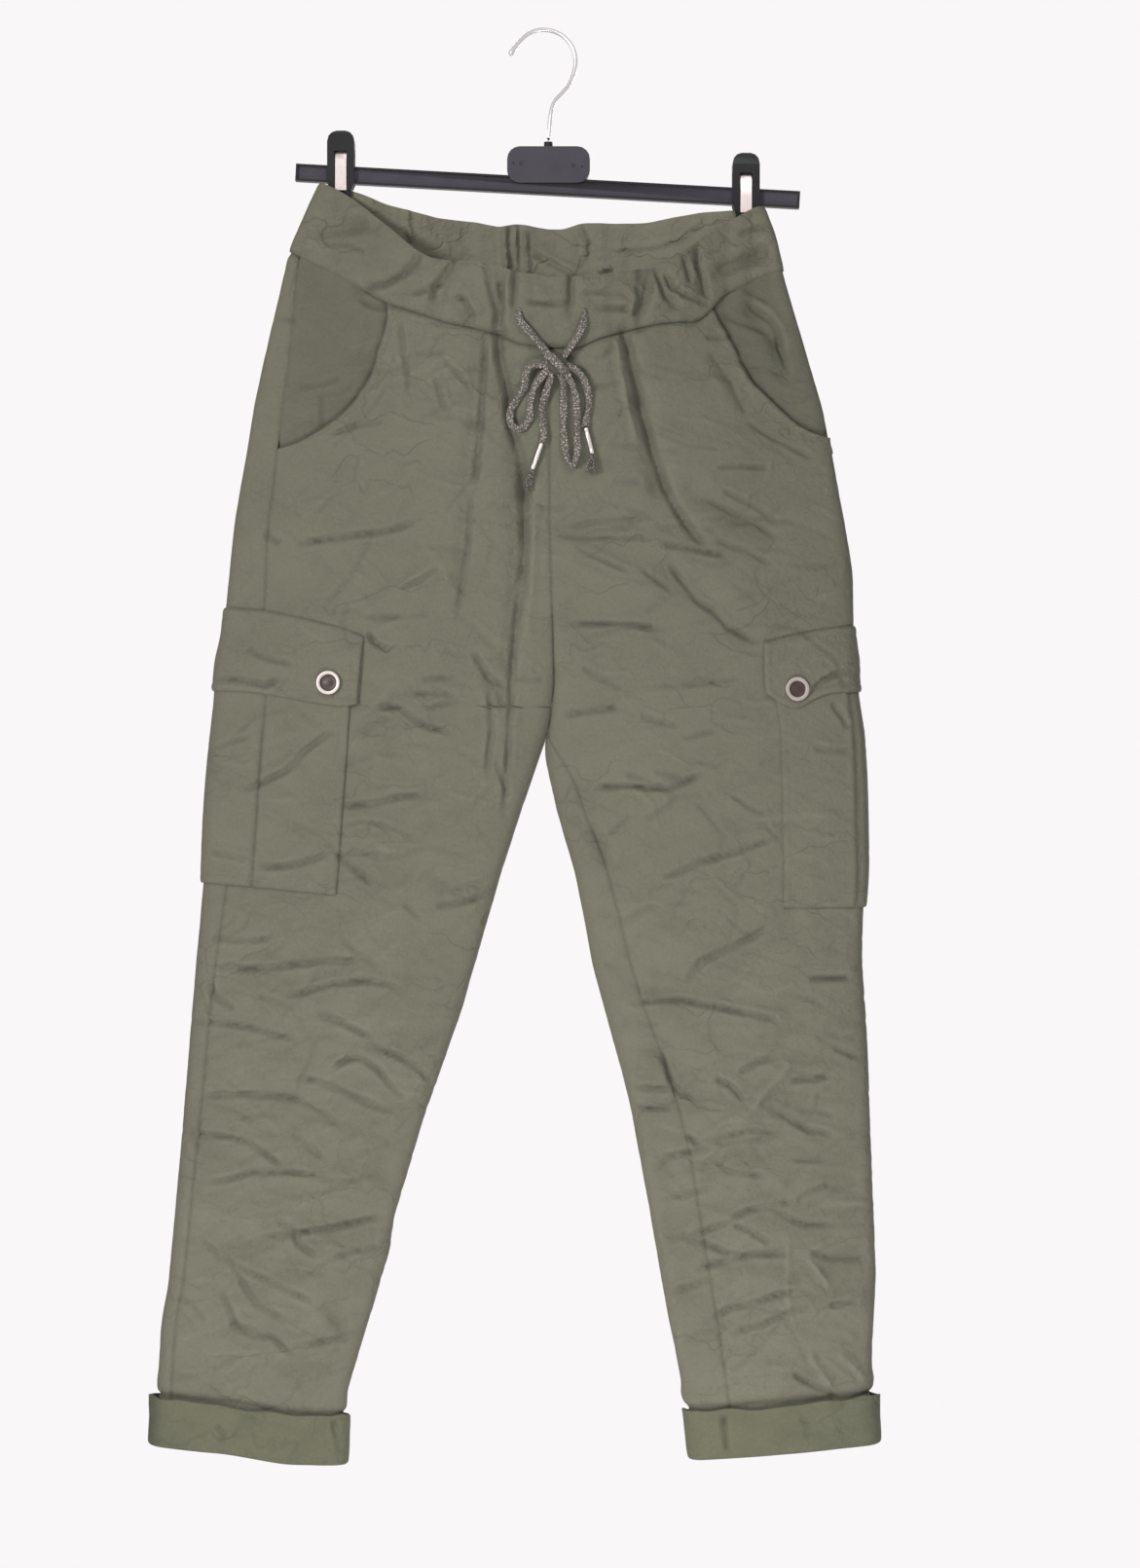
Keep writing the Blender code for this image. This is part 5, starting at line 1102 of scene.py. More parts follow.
def ring_faces(rings, sides, first=0, joined=False):
    """Faces between each ring of points and the next."""
    faces = []
    for ring in range(rings if joined else rings - 1):
        low = first + ring * sides
        high = first + (ring + 1) % rings * sides
        for corner in range(sides):
            other = (corner + 1) % sides
            faces.append((low + corner, low + other, high + other, high + corner))
    return faces


def declare(piece, slot, *nodes):
    """Say what a piece moves with and stands for; the slot is not used."""
    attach(piece, "root")
    if nodes:
        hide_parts(*nodes)


def cord_frames(points, phase):
    """Ways across and through a flat cord that lies on the trousers."""
    ways = unit(np.gradient(points, axis=0))
    across = np.cross(ways, (0.0, -1.0, 0.0))
    weights = np.hanning(9)
    weights = weights / weights.sum()
    across = np.stack([
        np.convolve(np.pad(across[:, axis], 4, mode="edge"), weights, "valid")
        for axis in range(3)], axis=1)
    across = unit(across - ways * np.sum(across * ways, axis=1, keepdims=True))
    through = np.cross(across, ways)
    twist = CORD_TWIST * np.sin(np.arange(len(points)) * CORD_STEP / TWIST_RUN + phase)[:, None]
    return (across * np.cos(twist) + through * np.sin(twist),
            through * np.cos(twist) - across * np.sin(twist))


def swept(middles, across, through, sides, width, thickness):
    """Rings of a flat cord's rounded section along a line, and their points' places over
    its width."""
    angles = np.arange(sides) * 2.0 * math.pi / sides
    wide, thick = (
        np.sign(part) * np.abs(part) ** SECTION_POWER * size / 2.0
        for part, size in ((np.cos(angles), width), (np.sin(angles), thickness)))
    rings = middles[:, None] + across[:, None] * wide[:, None] + through[:, None] * thick[:, None]
    return rings.reshape(-1, 3), np.tile(wide * MM, len(middles))


def flat_cord(name, points, phase, material):
    """Flat braided cord swept along a path, its ends closed."""
    across, through = cord_frames(points, phase)
    verts, over = swept(points, across, through, CORD_SIDES, CORD_WIDTH, CORD_THICKNESS)
    faces = ring_faces(len(points), CORD_SIDES)
    faces.append(tuple(range(CORD_SIDES)))
    faces.append(tuple(range(len(verts) - CORD_SIDES, len(verts))))
    mesh = new_mesh(name, verts, faces)
    along = np.repeat(np.arange(len(points)) * CORD_STEP * MM, CORD_SIDES)
    set_uv(mesh, np.stack([over, along], axis=1))
    return add_piece(name, mesh, material)


def deselect():
    for thing in bpy.context.selected_objects:
        thing.select_set(False)


def shaped(name, material):
    """Take the primitive that was just shaped as a piece of its own, with its place in
    its mesh."""
    piece = bpy.context.object
    piece.name = name
    piece.data.name = name
    bpy.ops.object.transform_apply(location=True, rotation=True, scale=True)
    piece.data.materials.clear()
    piece.data.materials.append(material)
    piece.select_set(False)
    return piece


def stand_off(x, z, off):
    return Vector((x, front_y(x, z) - off, z)) * MM


def add_aglet(side, material):
    """Crimped metal tube over the end of a cord."""
    x0, z0, x1, z1, off = AGLETS[side]
    start = stand_off(x0, z0, off)
    end = stand_off(x1, z1, off)
    way = end - start
    deselect()
    bpy.ops.mesh.primitive_cylinder_add(
        vertices=24, radius=AGLET_RADIUS * MM, depth=way.length, end_fill_type="NGON",
        location=(start + end) / 2.0, rotation=way.to_track_quat("Z", "Y").to_euler())
    tube = bpy.context.object
    bpy.ops.object.mode_set(mode="EDIT")
    shape = bmesh.from_edit_mesh(tube.data)
    half = way.length / 2.0
    for share in AGLET_CUTS:
        bmesh.ops.bisect_plane(shape, geom=shape.verts[:] + shape.edges[:] + shape.faces[:],
                               plane_co=(0.0, 0.0, share * half), plane_no=(0.0, 0.0, 1.0))
    for vert in shape.verts:
        height = abs(vert.co.z) / half
        for at, width in ((CRIMP_AT, CRIMP_WIDTH), (1.0, END_WIDTH)):
            if abs(height - at) < 0.01:
                vert.co.x *= width
                vert.co.y *= width
    bmesh.update_edit_mesh(tube.data)
    bpy.ops.object.mode_set(mode="OBJECT")
    bpy.ops.object.shade_smooth_by_angle(angle=math.radians(40.0))
    return shaped("drawstring_tip_" + SIDE_NAMES[side], material)


def add_tuft(side, chance, material):
    """Frayed end of a cord: thin strands that spread away from the metal tip."""
    x0, z0, x1, z1, off = TUFTS[side]
    start = np.array(stand_off(x0, z0, off)) / MM
    end = np.array(stand_off(x1, z1, off)) / MM
    way = unit(end - start)
    across = np.cross(way, (0.0, 1.0, 0.0))
    through = np.cross(across, way)
    verts = []
    faces = []
    for strand in range(TUFT_STRANDS):
        angle = strand * 2.4
        spread = math.sqrt((strand + 0.5) / TUFT_STRANDS)
        spoke = across * math.cos(angle) + through * math.sin(angle)
        length = np.linalg.norm(end - start) * chance.uniform(0.78, 1.08)
        droop = chance.uniform(-0.6, 0.6, 3)
        first = len(verts)
        for share in (-0.08, 0.3, 0.65, 1.0):
            middle = start + way * length * share
            middle = middle + spoke * spread * (1.0 + 2.5 * max(share, 0.0) ** 0.8)
            middle = middle + droop * share ** 2 * 1.3
            thick = 0.34 * (1.0 - 0.35 * share)
            for corner in range(3):
                turn = angle + corner * 2.0 * math.pi / 3.0
                verts.append(
                    middle + (across * math.cos(turn) + through * math.sin(turn)) * thick)
        faces += ring_faces(4, 3, first)
        faces.append((first, first + 2, first + 1))
        faces.append((first + 9, first + 10, first + 11))
    name = "drawstring_fray_" + SIDE_NAMES[side]
    mesh = new_mesh(name, verts, faces)
    set_uv(mesh, np.array(verts)[:, [0, 2]] * MM)
    return add_piece(name, mesh, material)


def add_knot(material):
    """Bow's knot: a lump of folded cord with one flat turn wrapped slanting over it."""
    place = stand_off(KNOT_CENTRE[0], KNOT_CENTRE[1], KNOT_STAND_OFF)
    deselect()
    bpy.ops.mesh.primitive_uv_sphere_add(segments=40, ring_count=28, radius=1.0)
    lump = bpy.context.object
    for vert in lump.data.vertices:
        point = vert.co.copy()
        slanted = KNOT_SLANT @ point
        valley = 0.86 + 0.14 * math.exp(-(slanted.z / 0.42) ** 2)
        pinch = 1.0 - 0.10 * math.exp(-((abs(slanted.z) - 0.5) / 0.12) ** 2)
        seam = 1.0 - 0.05 * math.exp(-((slanted.x + 0.1) / 0.14) ** 2) * (abs(slanted.z) > 0.5)
        vert.co = Vector((point.x * KNOT_RADII[0], point.y * KNOT_RADII[1],
                          point.z * KNOT_RADII[2])) * valley * pinch * seam * MM
    lump.location = place
    lump.data.shade_smooth()
    lump_piece = shaped("drawstring_knot_lump", material)
    angles = np.linspace(0.0, 2.0 * math.pi, 61)[:-1]
    wrap = []
    for angle in angles:
        point = Vector((math.cos(angle), math.sin(angle), 0.1 * math.sin(2.0 * angle)))
        point = KNOT_SLANT.inverted() @ point
        wrap.append((point.x * KNOT_RADII[0] * 0.93, point.y * KNOT_RADII[1] * 0.98,
                     point.z * KNOT_RADII[2] * 0.93))
    wrap = np.array(wrap)
    ways = unit(np.roll(wrap, -1, axis=0) - np.roll(wrap, 1, axis=0))
    outward = unit(wrap)
    outward = unit(outward - ways * np.sum(outward * ways, axis=1, keepdims=True))
    verts, over = swept(wrap, np.cross(outward, ways), outward, WRAP_SIDES, WRAP_WIDTH,
                        CORD_THICKNESS)
    faces = ring_faces(len(wrap), WRAP_SIDES, joined=True)
    mesh = new_mesh("drawstring_knot_wrap", verts + np.array(place) / MM, faces)
    along = np.repeat(angles * WRAP_RADIUS * MM, WRAP_SIDES)
    set_uv(mesh, np.stack([over, along], axis=1))
    return lump_piece, add_piece("drawstring_knot_wrap", mesh, material)


def cord_path(side):
    points = [tuple(np.array(stand_off(x, z, off)) / MM) for x, z, off in CORD_PATHS[side]]
    return smooth_run(points, CORD_STEP)


def add_drawstring(cord_material, metal):
    chance = np.random.default_rng(FRAY_SEED)
    lump, wrap = add_knot(cord_material)
    for side in SIDES:
        word = SIDE_NAMES[side]
        path = cord_path(side)
        cord = flat_cord("drawstring_cord_" + word, path, 1.3 * side, cord_material)
        tip = add_aglet(side, metal)
        fray = add_tuft(side, chance, cord_material)
        declare(cord, "cord_lurex", *("drawstring_" + part + "_" + word
                                      for part in ("strand", "loop", "tail")))
        declare(tip, "aglet_metal", "drawstring_aglet_" + word)
        declare(fray, "cord_lurex", "drawstring_tuft_" + word)
    declare(lump, "cord_lurex", "drawstring_knot")
    declare(wrap, "cord_lurex")

# ---------------------------------------------------------------- finishes

OLIVE = (0.176, 0.174, 0.130)
OLIVE_BAND = (0.172, 0.171, 0.128)
OLIVE_FACING = (0.152, 0.151, 0.114)
OLIVE_CUFF = (0.140, 0.144, 0.098)
THREAD_OLIVE = (0.20, 0.197, 0.150)
LUREX = (0.088, 0.080, 0.060)
LUREX_GLINT = (0.78, 0.70, 0.66)
THREAD = 0.00055
COTTON_GROUND = 0.61
BRAID_LEAN = math.radians(38.0)
BRAID_STRAND = 0.0011


def node(material, kind, inputs=None, **settings):
    made = material.node_tree.nodes.new(kind)
    for name, value in settings.items():
        setattr(made, name, value)
    for name, value in (inputs or {}).items():
        if isinstance(value, bpy.types.NodeSocket):
            material.node_tree.links.new(value, made.inputs[name])
        else:
            made.inputs[name].default_value = value
    return made


def feed(shader, name, value):
    shader.id_data.links.new(value, shader.inputs[name])


def maths(material, operation, first, second=0.0, third=0.0):
    return node(material, "ShaderNodeMath", {0: first, 1: second, 2: third},
                operation=operation).outputs[0]


def scaled(material, value, share, plus):
    return maths(material, "MULTIPLY_ADD", value, share, plus)


def blended(material, share, first, second):
    """Colour that runs from the first to the second."""
    return node(material, "ShaderNodeMix", {0: share, 6: first, 7: second},
                data_type="RGBA").outputs[2]


def tinted(material, colour, value):
    """One colour, made lighter or darker."""
    return node(material, "ShaderNodeHueSaturation",
                {"Color": (*colour, 1.0), "Value": value}).outputs[0]


def new_finish(name, colour, roughness, metallic=0.0):
    material = bpy.data.materials.new(name)
    material.use_nodes = True
    shader = material.node_tree.nodes["Principled BSDF"]
    shader.inputs["Base Color"].default_value = (*colour, 1.0)
    shader.inputs["Roughness"].default_value = roughness
    shader.inputs["Metallic"].default_value = metallic
    return material, shader


def object_place(material):
    return node(material, "ShaderNodeTexCoord").outputs["Object"]


def cloth_uv(material):
    return node(material, "ShaderNodeUVMap", uv_map="cloth").outputs[0]


def attribute(material, name):
    return node(material, "ShaderNodeAttribute", attribute_name=name).outputs["Fac"]


def noise(material, vector, size, detail=2.0, rough=0.5):
    return node(material, "ShaderNodeTexNoise",
                {"Vector": vector, "Scale": 1.0 / size, "Detail": detail,
                 "Roughness": rough}).outputs[0]


def threads(material, vector, period, direction="X"):
    """Even threads side by side, a period apart."""
    return node(material, "ShaderNodeTexWave",
                {"Vector": vector, "Scale": 2.0 * math.pi / (20.0 * period)},
                bands_direction=direction).outputs["Fac"]


def bump(material, height, strength, distance, under=None):
    inputs = {"Strength": strength, "Distance": distance, "Height": height}
    if under is not None:
        inputs["Normal"] = under
    return node(material, "ShaderNodeBump", inputs).outputs[0]


def crumple_lines(material, place, size, stretch, width, patch):
    """Thin crossing crease lines of crushed cloth, 0 on a line and 1 beside it. They run
    mostly across the leg and fade out in patches."""
    sway = node(material, "ShaderNodeTexNoise",
                {"Vector": place, "Scale": 1.6 / size, "Detail": 2.0}).outputs[1]
    sway = node(material, "ShaderNodeVectorMath", {0: sway, 1: (0.5, 0.5, 0.5)},
                operation="SUBTRACT").outputs[0]
    bent = node(material, "ShaderNodeVectorMath",
                {0: sway, 1: (size, size, size), 2: place},
                operation="MULTIPLY_ADD").outputs[0]
    bent = node(material, "ShaderNodeVectorMath", {0: bent, 1: stretch},
                operation="MULTIPLY").outputs[0]
    cells = node(material, "ShaderNodeTexVoronoi", {"Vector": bent, "Scale": 1.0 / size},
                 feature="DISTANCE_TO_EDGE").outputs[0]
    side = node(material, "ShaderNodeMapRange",
                {"Value": cells, "From Max": width}, interpolation_type="SMOOTHSTEP").outputs[0]
    there = node(material, "ShaderNodeMapRange",
                 {"Value": noise(material, place, patch, 1.0), "From Min": 0.42,
                  "From Max": 0.58}).outputs[0]
    return maths(material, "MAXIMUM", side, maths(material, "SUBTRACT", 1.0, there))


def cotton(name, colour, crush=1.0):
    """Crushed plain-weave cotton: uneven dye, painted light and shade on creases and seams,
    crumple lines painted darker, threads and fine crumple.
    """
    material, shader = new_finish(name, colour, 0.92)
    shader.inputs["Specular IOR Level"].default_value = 0.22
    shader.inputs["Sheen Weight"].default_value = 0.10
    shader.inputs["Sheen Roughness"].default_value = 0.45
    place = object_place(material)
    uv = cloth_uv(material)
    wide = crumple_lines(material, place, 0.046, (0.62, 1.0, 1.5), 0.045, 0.08)
    fine = crumple_lines(material, place, 0.021, (0.7, 1.0, 1.35), 0.075, 0.05)
    lines = scaled(material, fine, 0.45, wide)
    dye = noise(material, place, 0.055, 3.0)
    slubs = noise(material, uv, 0.0023, 2.0)
    specks = noise(material, uv, 0.0006, 1.0)
    # painted light and shade: the crease attribute and the crumple lines make the colour lighter
    # or darker where light or shade falls; dye, specks and slubs are the cloth's own colour
    value = COTTON_GROUND
    for pattern, share in ((dye, 0.18), (attribute(material, "crease"), 0.10), (specks, 0.13),
                           (lines, 0.07 * crush), (slubs, 0.24)):
        value = scaled(material, pattern, share, value)
    feed(shader, "Base Color", tinted(material, colour, value))
    crumple = scaled(material, lines, 0.42, noise(material, place, 0.0062, 4.0, 0.62))
    rough = bump(material, crumple, 0.7 * crush, 0.0015)
    weave = maths(material, "MULTIPLY", threads(material, uv, THREAD),
                  threads(material, uv, THREAD, "Y"))
    feed(shader, "Normal", bump(material, weave, 0.35, 0.00012, rough))
    return material


def thread_finish():
    material, shader = new_finish("sewing_thread", THREAD_OLIVE, 0.75)
    twist = noise(material, object_place(material), 0.0008, 2.0)
    feed(shader, "Base Color", tinted(material, THREAD_OLIVE, scaled(material, twist, 0.4, 0.8)))
    return material


def lurex_cord():
    """Flat braid with pale metallic specks on a grey-olive ground; the specks are partly the
    threads' own colour and partly a painted glint.
    """
    material, shader = new_finish("lurex_braid", LUREX, 0.62)
    shader.inputs["Sheen Weight"].default_value = 0.10
    uv = cloth_uv(material)
    strands = []
    for lean in (BRAID_LEAN, -BRAID_LEAN):
        turned = node(material, "ShaderNodeMapping",
                      {"Vector": uv, "Rotation": (0.0, 0.0, lean)}).outputs[0]
        strands.append(threads(material, turned, BRAID_STRAND))
    braid = maths(material, "MAXIMUM", *strands)
    # pale specks: partly the metallic threads' own colour, partly a painted glint
    glints = node(material, "ShaderNodeMapRange",
                  {"Value": noise(material, uv, 0.0012, 2.0, 0.7), "From Min": 0.52,
                   "From Max": 0.62}).outputs[0]
    dark, light = ((*(part * share for part in LUREX), 1.0) for share in (0.62, 1.12))
    ground = blended(material, braid, dark, light)
    feed(shader, "Base Color", blended(material, maths(material, "MULTIPLY", glints, 0.75),
                                       ground, (*LUREX_GLINT, 1.0)))
    feed(shader, "Roughness", scaled(material, glints, -0.3, 0.66))
    feed(shader, "Normal", bump(material, braid, 0.6, 0.0004))
    return material


def metal(name, colour, roughness, grain, metallic=1.0):
    """Bright metal with fine scratches and a little uneven polish."""
    material, shader = new_finish(name, colour, roughness, metallic)
    polish = noise(material, object_place(material), grain, 4.0, 0.6)
    feed(shader, "Roughness", scaled(material, polish, 0.22, roughness - 0.11))
    feed(shader, "Normal", bump(material, polish, 0.25, 0.0001))
    return material


BUTTON_METAL = (0.40, 0.35, 0.33)
BUTTON_CENTRE = (0.040, 0.024, 0.016)
PLASTIC_BLACK = (0.012, 0.012, 0.014)
PLASTIC_GREY = (0.064, 0.058, 0.074)


def button_finish():
    """Cast metal rim round a dark brown sunk centre."""
    material = metal("button_metal", BUTTON_METAL, 0.42, 0.0012)
    shader = material.node_tree.nodes["Principled BSDF"]
    centre = attribute(material, "centre")
    feed(shader, "Base Color",
         blended(material, centre, (*BUTTON_METAL, 1.0), (*BUTTON_CENTRE, 1.0)))
    feed(shader, "Metallic", scaled(material, centre, -0.9, 1.0))
    return material


def hanger_plastic():
    """Black moulded plastic whose channel and block face are coloured purple-grey."""
    material, shader = new_finish("hanger_plastic", PLASTIC_BLACK, 0.38)
    shader.inputs["Specular IOR Level"].default_value = 0.24
    place = object_place(material)
    dust = noise(material, place, 0.012, 3.0)
    share = maths(material, "MULTIPLY", attribute(material, "greyed"),
                  scaled(material, dust, 0.5, 0.72))
    feed(shader, "Base Color",
         blended(material, share, (*PLASTIC_BLACK, 1.0), (*PLASTIC_GREY, 1.0)))
    feed(shader, "Roughness", scaled(material, dust, 0.16, 0.30))
    feed(shader, "Normal", bump(material, noise(material, place, 0.0009, 2.0), 0.18, 0.0001))
    return material


FINISHES = {
    "olive": cotton("crushed_cotton", OLIVE),
    "band": cotton("waistband_cotton", OLIVE_BAND, 1.2),
    "facing": cotton("facing_cotton", OLIVE_FACING, 0.7),
    "cuff": cotton("cuff_cotton", OLIVE_CUFF, 1.1),
    "thread": thread_finish(),
    "cord": lurex_cord(),
    "button": button_finish(),
    "tip": metal("tip_metal", (0.66, 0.60, 0.58), 0.28, 0.0015),
    "plastic": hanger_plastic(),
    "hook": metal("hook_steel", (0.56, 0.55, 0.57), 0.30, 0.004),
    "spring": metal("spring_steel", (0.62, 0.55, 0.54), 0.34, 0.003, 0.8),
}

add_drawstring(FINISHES["cord"], FINISHES["tip"])

# ---------------------------------------------------------------- cloth shells

COARSE = 4
EDGE_MARKS = np.array([0.0, 0.7, 1.9])
SHARP = math.radians(62.0)
CREASE_SHADE = 0.8
# painted light: the waistbands' inner faces are painted lighter, as if more light fell on them
INSIDE_PAINTED_LIGHT = 4.2


def shell(name, outer, inner, every, uv, crease, material, closed=False, painted_light=0.0):
    """Thin closed cloth from a fine outer face and an inner face that has one point for
    every so many of the outer ones."""
    rows, columns = outer.shape[:2]
    inner_rows, inner_columns = inner.shape[:2]
    base = rows * columns

    def out(r, c):
        return r * columns + c % columns

    def inn(r, c):
        return base + r * inner_columns + c % inner_columns

    faces = []
    wide = columns if closed else columns - 1
    for r in range(rows - 1):
        for c in range(wide):
            faces.append((out(r, c), out(r, c + 1), out(r + 1, c + 1), out(r + 1, c)))
    inner_wide = inner_columns if closed else inner_columns - 1
    for r in range(inner_rows - 1):
        for c in range(inner_wide):
            faces.append((inn(r, c), inn(r + 1, c), inn(r + 1, c + 1), inn(r, c + 1)))
    for c in range(inner_wide):
        for row, inner_row in ((0, 0), (rows - 1, inner_rows - 1)):
            rim = [out(row, c * every + step) for step in range(every + 1)]
            faces.append(tuple(rim) + (inn(inner_row, c + 1), inn(inner_row, c)))
    if not closed:
        for r in range(inner_rows - 1):
            for column, inner_column in ((0, 0), (columns - 1, inner_columns - 1)):
                rim = [out(r * every + step, column) for step in range(every + 1)]
                faces.append(tuple(rim) + (inn(r + 1, inner_column), inn(r, inner_column)))
    mesh = new_mesh(name, np.concatenate([outer.reshape(-1, 3), inner.reshape(-1, 3)]), faces)
    inner_uv = uv[::every, ::every]
    set_uv(mesh, np.concatenate([uv.reshape(-1, 2), inner_uv.reshape(-1, 2)]) * MM)
    # the crease attribute holds painted light and shade, and the inner face gets extra painted
    # light
    inner_painted_shade = crease[::every, ::every] + painted_light
    set_value(mesh, "crease", np.concatenate([crease.ravel(), inner_painted_shade.ravel()]))
    mesh.set_sharp_from_angle(angle=SHARP)
    return add_piece(name, mesh, material)


def sewn_piece(part, side, outer, turns, heights, low, across, shade, material):
    """One side's cloth in place of its solid, with the lift of its inner face and the way
    across it that its threads follow."""
    coarse = (slice(None, None, COARSE), slice(None, None, COARSE))
    inner = cloth_point(side, turns[coarse], heights[coarse], low[coarse])
    solid = part + "_" + SIDE_NAMES[side]
    uv = np.stack([across, heights], axis=-1)
    piece = shell(solid + "_cloth", outer, inner, COARSE, uv, shade, material)
    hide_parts(solid)
    return piece


def lowest(lift, reach):
    """Least lift near each point, so that the inner face stays inside every crease."""
    low = lift
    for axis in (0, 1):
        pad = [(0, 0), (0, 0)]
        pad[axis] = (reach, reach)
        wide = np.pad(low, pad, mode="edge")
        size = lift.shape[axis]
        low = np.min([np.take(wide, range(step, step + size), axis=axis)
                      for step in range(2 * reach + 1)], axis=0)
    return low


def spread(side, first, last, rows, height, count):
    """Turns at even steps of cloth between two edges, closer beside each, with their
    heights and how far each lies from the first and the last edge."""
    share = np.linspace(0.0, 1.0, 240)
    dense = first[:, None] + (last - first)[:, None] * share
    points = ring_point(side, dense, height(dense, rows[:, None]))
    steps = np.linalg.norm(np.diff(points, axis=1), axis=2)
    run = np.concatenate([np.zeros((len(rows), 1)), np.cumsum(steps, axis=1)], axis=1)
    turns = np.empty((len(rows), count))
    marks = np.empty((len(rows), count))
    for row in range(len(rows)):
        whole = run[row, -1]
        near = np.minimum(EDGE_MARKS, whole * 0.02 * EDGE_MARKS)
        middle = np.linspace(near[-1], whole - near[-1], count - 4)[1:-1]
        marks[row] = np.concatenate([near, middle, whole - near[::-1]])
        turns[row] = np.interp(marks[row], run[row], dense[row])
    turns[:, 0] = first
    turns[:, -1] = last
    return turns, height(turns, rows[:, None]), marks, run[:, -1:] - marks


def crease_shade(fine, line):
    """Painted light and shade: crease tops are painted lighter and crease bottoms darker, with a
    painted shade line along each bottom.
    """
    return np.clip(fine, -1.0, 0.8) - CREASE_SHADE * line


def seam_shade(distance, strength=1.6, width=1.1):
    """Painted shade: seams, tucked edges and folds are painted darker where shadow gathers."""
    return -strength * hump(distance, width)


STITCH_LENGTH = 2.5
STITCH_GAP = 0.9
STITCH_HALF = 0.3
MOUTH_STITCH = 5.0
sewing = {}


def nearest_to(values, wanted):
    return int(np.argmin(np.abs(values - wanted)))


def sewn(side, turns, heights, outer, steps):
    """Points and ways out along a row of stitches that runs over the cloth's own grid."""
    rows, columns = np.array(steps).T
    return outer[rows, columns], ring_normal(side, turns[rows, columns], heights[rows, columns])


def hemmed(before, after, top, bottom, first_row):
    """Grid steps down one side of a laid piece, along its bottom and up the other."""
    half = before.shape[0] // 2
    a = nearest_to(before[half], HEM_BAND)
    b = nearest_to(after[half], HEM_BAND)
    low = nearest_to(bottom[:, before.shape[1] // 2], HEM_BAND)
    high = nearest_to(top[:, before.shape[1] // 2], HEM_BAND) if first_row is None else first_row
    down = [(row, a) for row in range(high, low)]
    along = [(low, column) for column in range(a, b)]
    up = [(row, b) for row in range(low, high, -1)]
    back = [(high, column) for column in range(b, a, -1)] if first_row is None else []
    return down + along + up + back


def add_stitches(name, runs, material):
    """Rows of sewing stitches as one piece: short threads that dip in at both ends."""
    verts = []
    faces = []
    for points, outward in runs:
        run = run_along(points)
        for start in np.arange(1.0, run[-1] - STITCH_LENGTH, STITCH_LENGTH + STITCH_GAP):
            marks = start + STITCH_LENGTH * np.array([0.0, 0.3, 0.7, 1.0])
            line = at_marks(marks, run, points)
            out = at_marks(start, run, outward)
            across = unit(np.cross(line[-1] - line[0], out))
            first = len(verts)
            for middle, high, thick in zip(line, (-0.25, 0.2, 0.2, -0.25), (0.5, 1.0, 1.0, 0.5)):
                for a, o in ((1.0, 0.0), (0.0, 1.0), (-1.0, 0.0), (0.0, -1.0)):
                    reach = STITCH_HALF * thick
                    verts.append(middle + across * a * reach + out * (o * reach + high))
            faces += ring_faces(4, 4, first)
            faces.append(tuple(range(first, first + 4)))
            faces.append(tuple(range(first + 12, first + 16)))
    declare(add_piece(name, new_mesh(name, verts, faces), material), "olive_cotton")


def under_layers(side, turn, z):
    """1 where the cloth lies under a cargo pocket or its flap, with soft borders."""
    distance = fold_distance(side, turn, z)
    cut = POCKETS[side]
    bottom = read(POCKET_BOTTOMS, COLUMN[side], distance)
    flap = FLAP_EDGES[side]
    inside = np.minimum(cut["front"] - distance, distance - cut["rear"]) - 1.0
    level = np.minimum(cut["top"] - z + 4.0, z - bottom - 1.0)
    pocket = ease(inside / 3.0) * ease(level / 3.0)
    inside = np.minimum(flap[-1][0] - distance, distance - flap[0][0]) - 1.0
    level = np.minimum(read(flap, 1, distance) - z, z - read(flap, 2, distance) - 1.0)
    return np.maximum(pocket, ease(inside / 3.0) * ease(level / 3.0))


SEAM_DIP = 0.9
TOP_TUCK = 1.5
SEAM_ROUND = 1.5
LAYER_SINK = 1.1
CUFF_TOP = 31.0
FINE_LEVELS = (-288.0, -316.0)


def edge_dip(distance, dip=SEAM_DIP, spread_mm=SEAM_ROUND):
    return -dip * hump(distance, spread_mm)


def above_cuff(side, turn, z):
    """Trough where the leg tucks into the cuff, and the cloth that blouses over it, with
    the height over the cuff's top edge."""
    across = across_share(turn)
    height = z - hem_height(side, across) - CUFF_TOP
    uneven = 0.65 + 0.35 * np.sin(across * 19.0 + side * 1.7)
    trough = -2.4 * hump(height - 0.6, 2.2)
    bulge = 1.9 * uneven * hump(height - 10.0, 6.5)
    return trough + bulge - 1.2 * ease(-height / 3.0), height


def leg_rows(count_top, count_mouth, count_leg):
    fine_from, fine_to = FINE_LEVELS
    top = np.linspace(TOP_LEVEL, fine_from, count_top)
    mouth = np.linspace(fine_from, fine_to, count_mouth + 1)[1:]
    leg = np.linspace(fine_to, HEM_LEVEL, count_leg + 1)[1:]
    levels = np.concatenate([top, mouth, leg])
    levels[1] = levels[0] - 0.8
    return levels


# rows above, along and below the low end of the pocket mouth, then columns
LEG_GRIDS = {"front": ((60, 45, 420), 157), "rear": ((42, 11, 320), 113)}


def tucked_height(side):
    """Heights of a panel by turn and level, its top row tucked in behind the band."""
    def height(turn, level):
        return row_height(side, turn, level) + np.where(level == TOP_LEVEL, TOP_TUCK, 0.0)
    return height


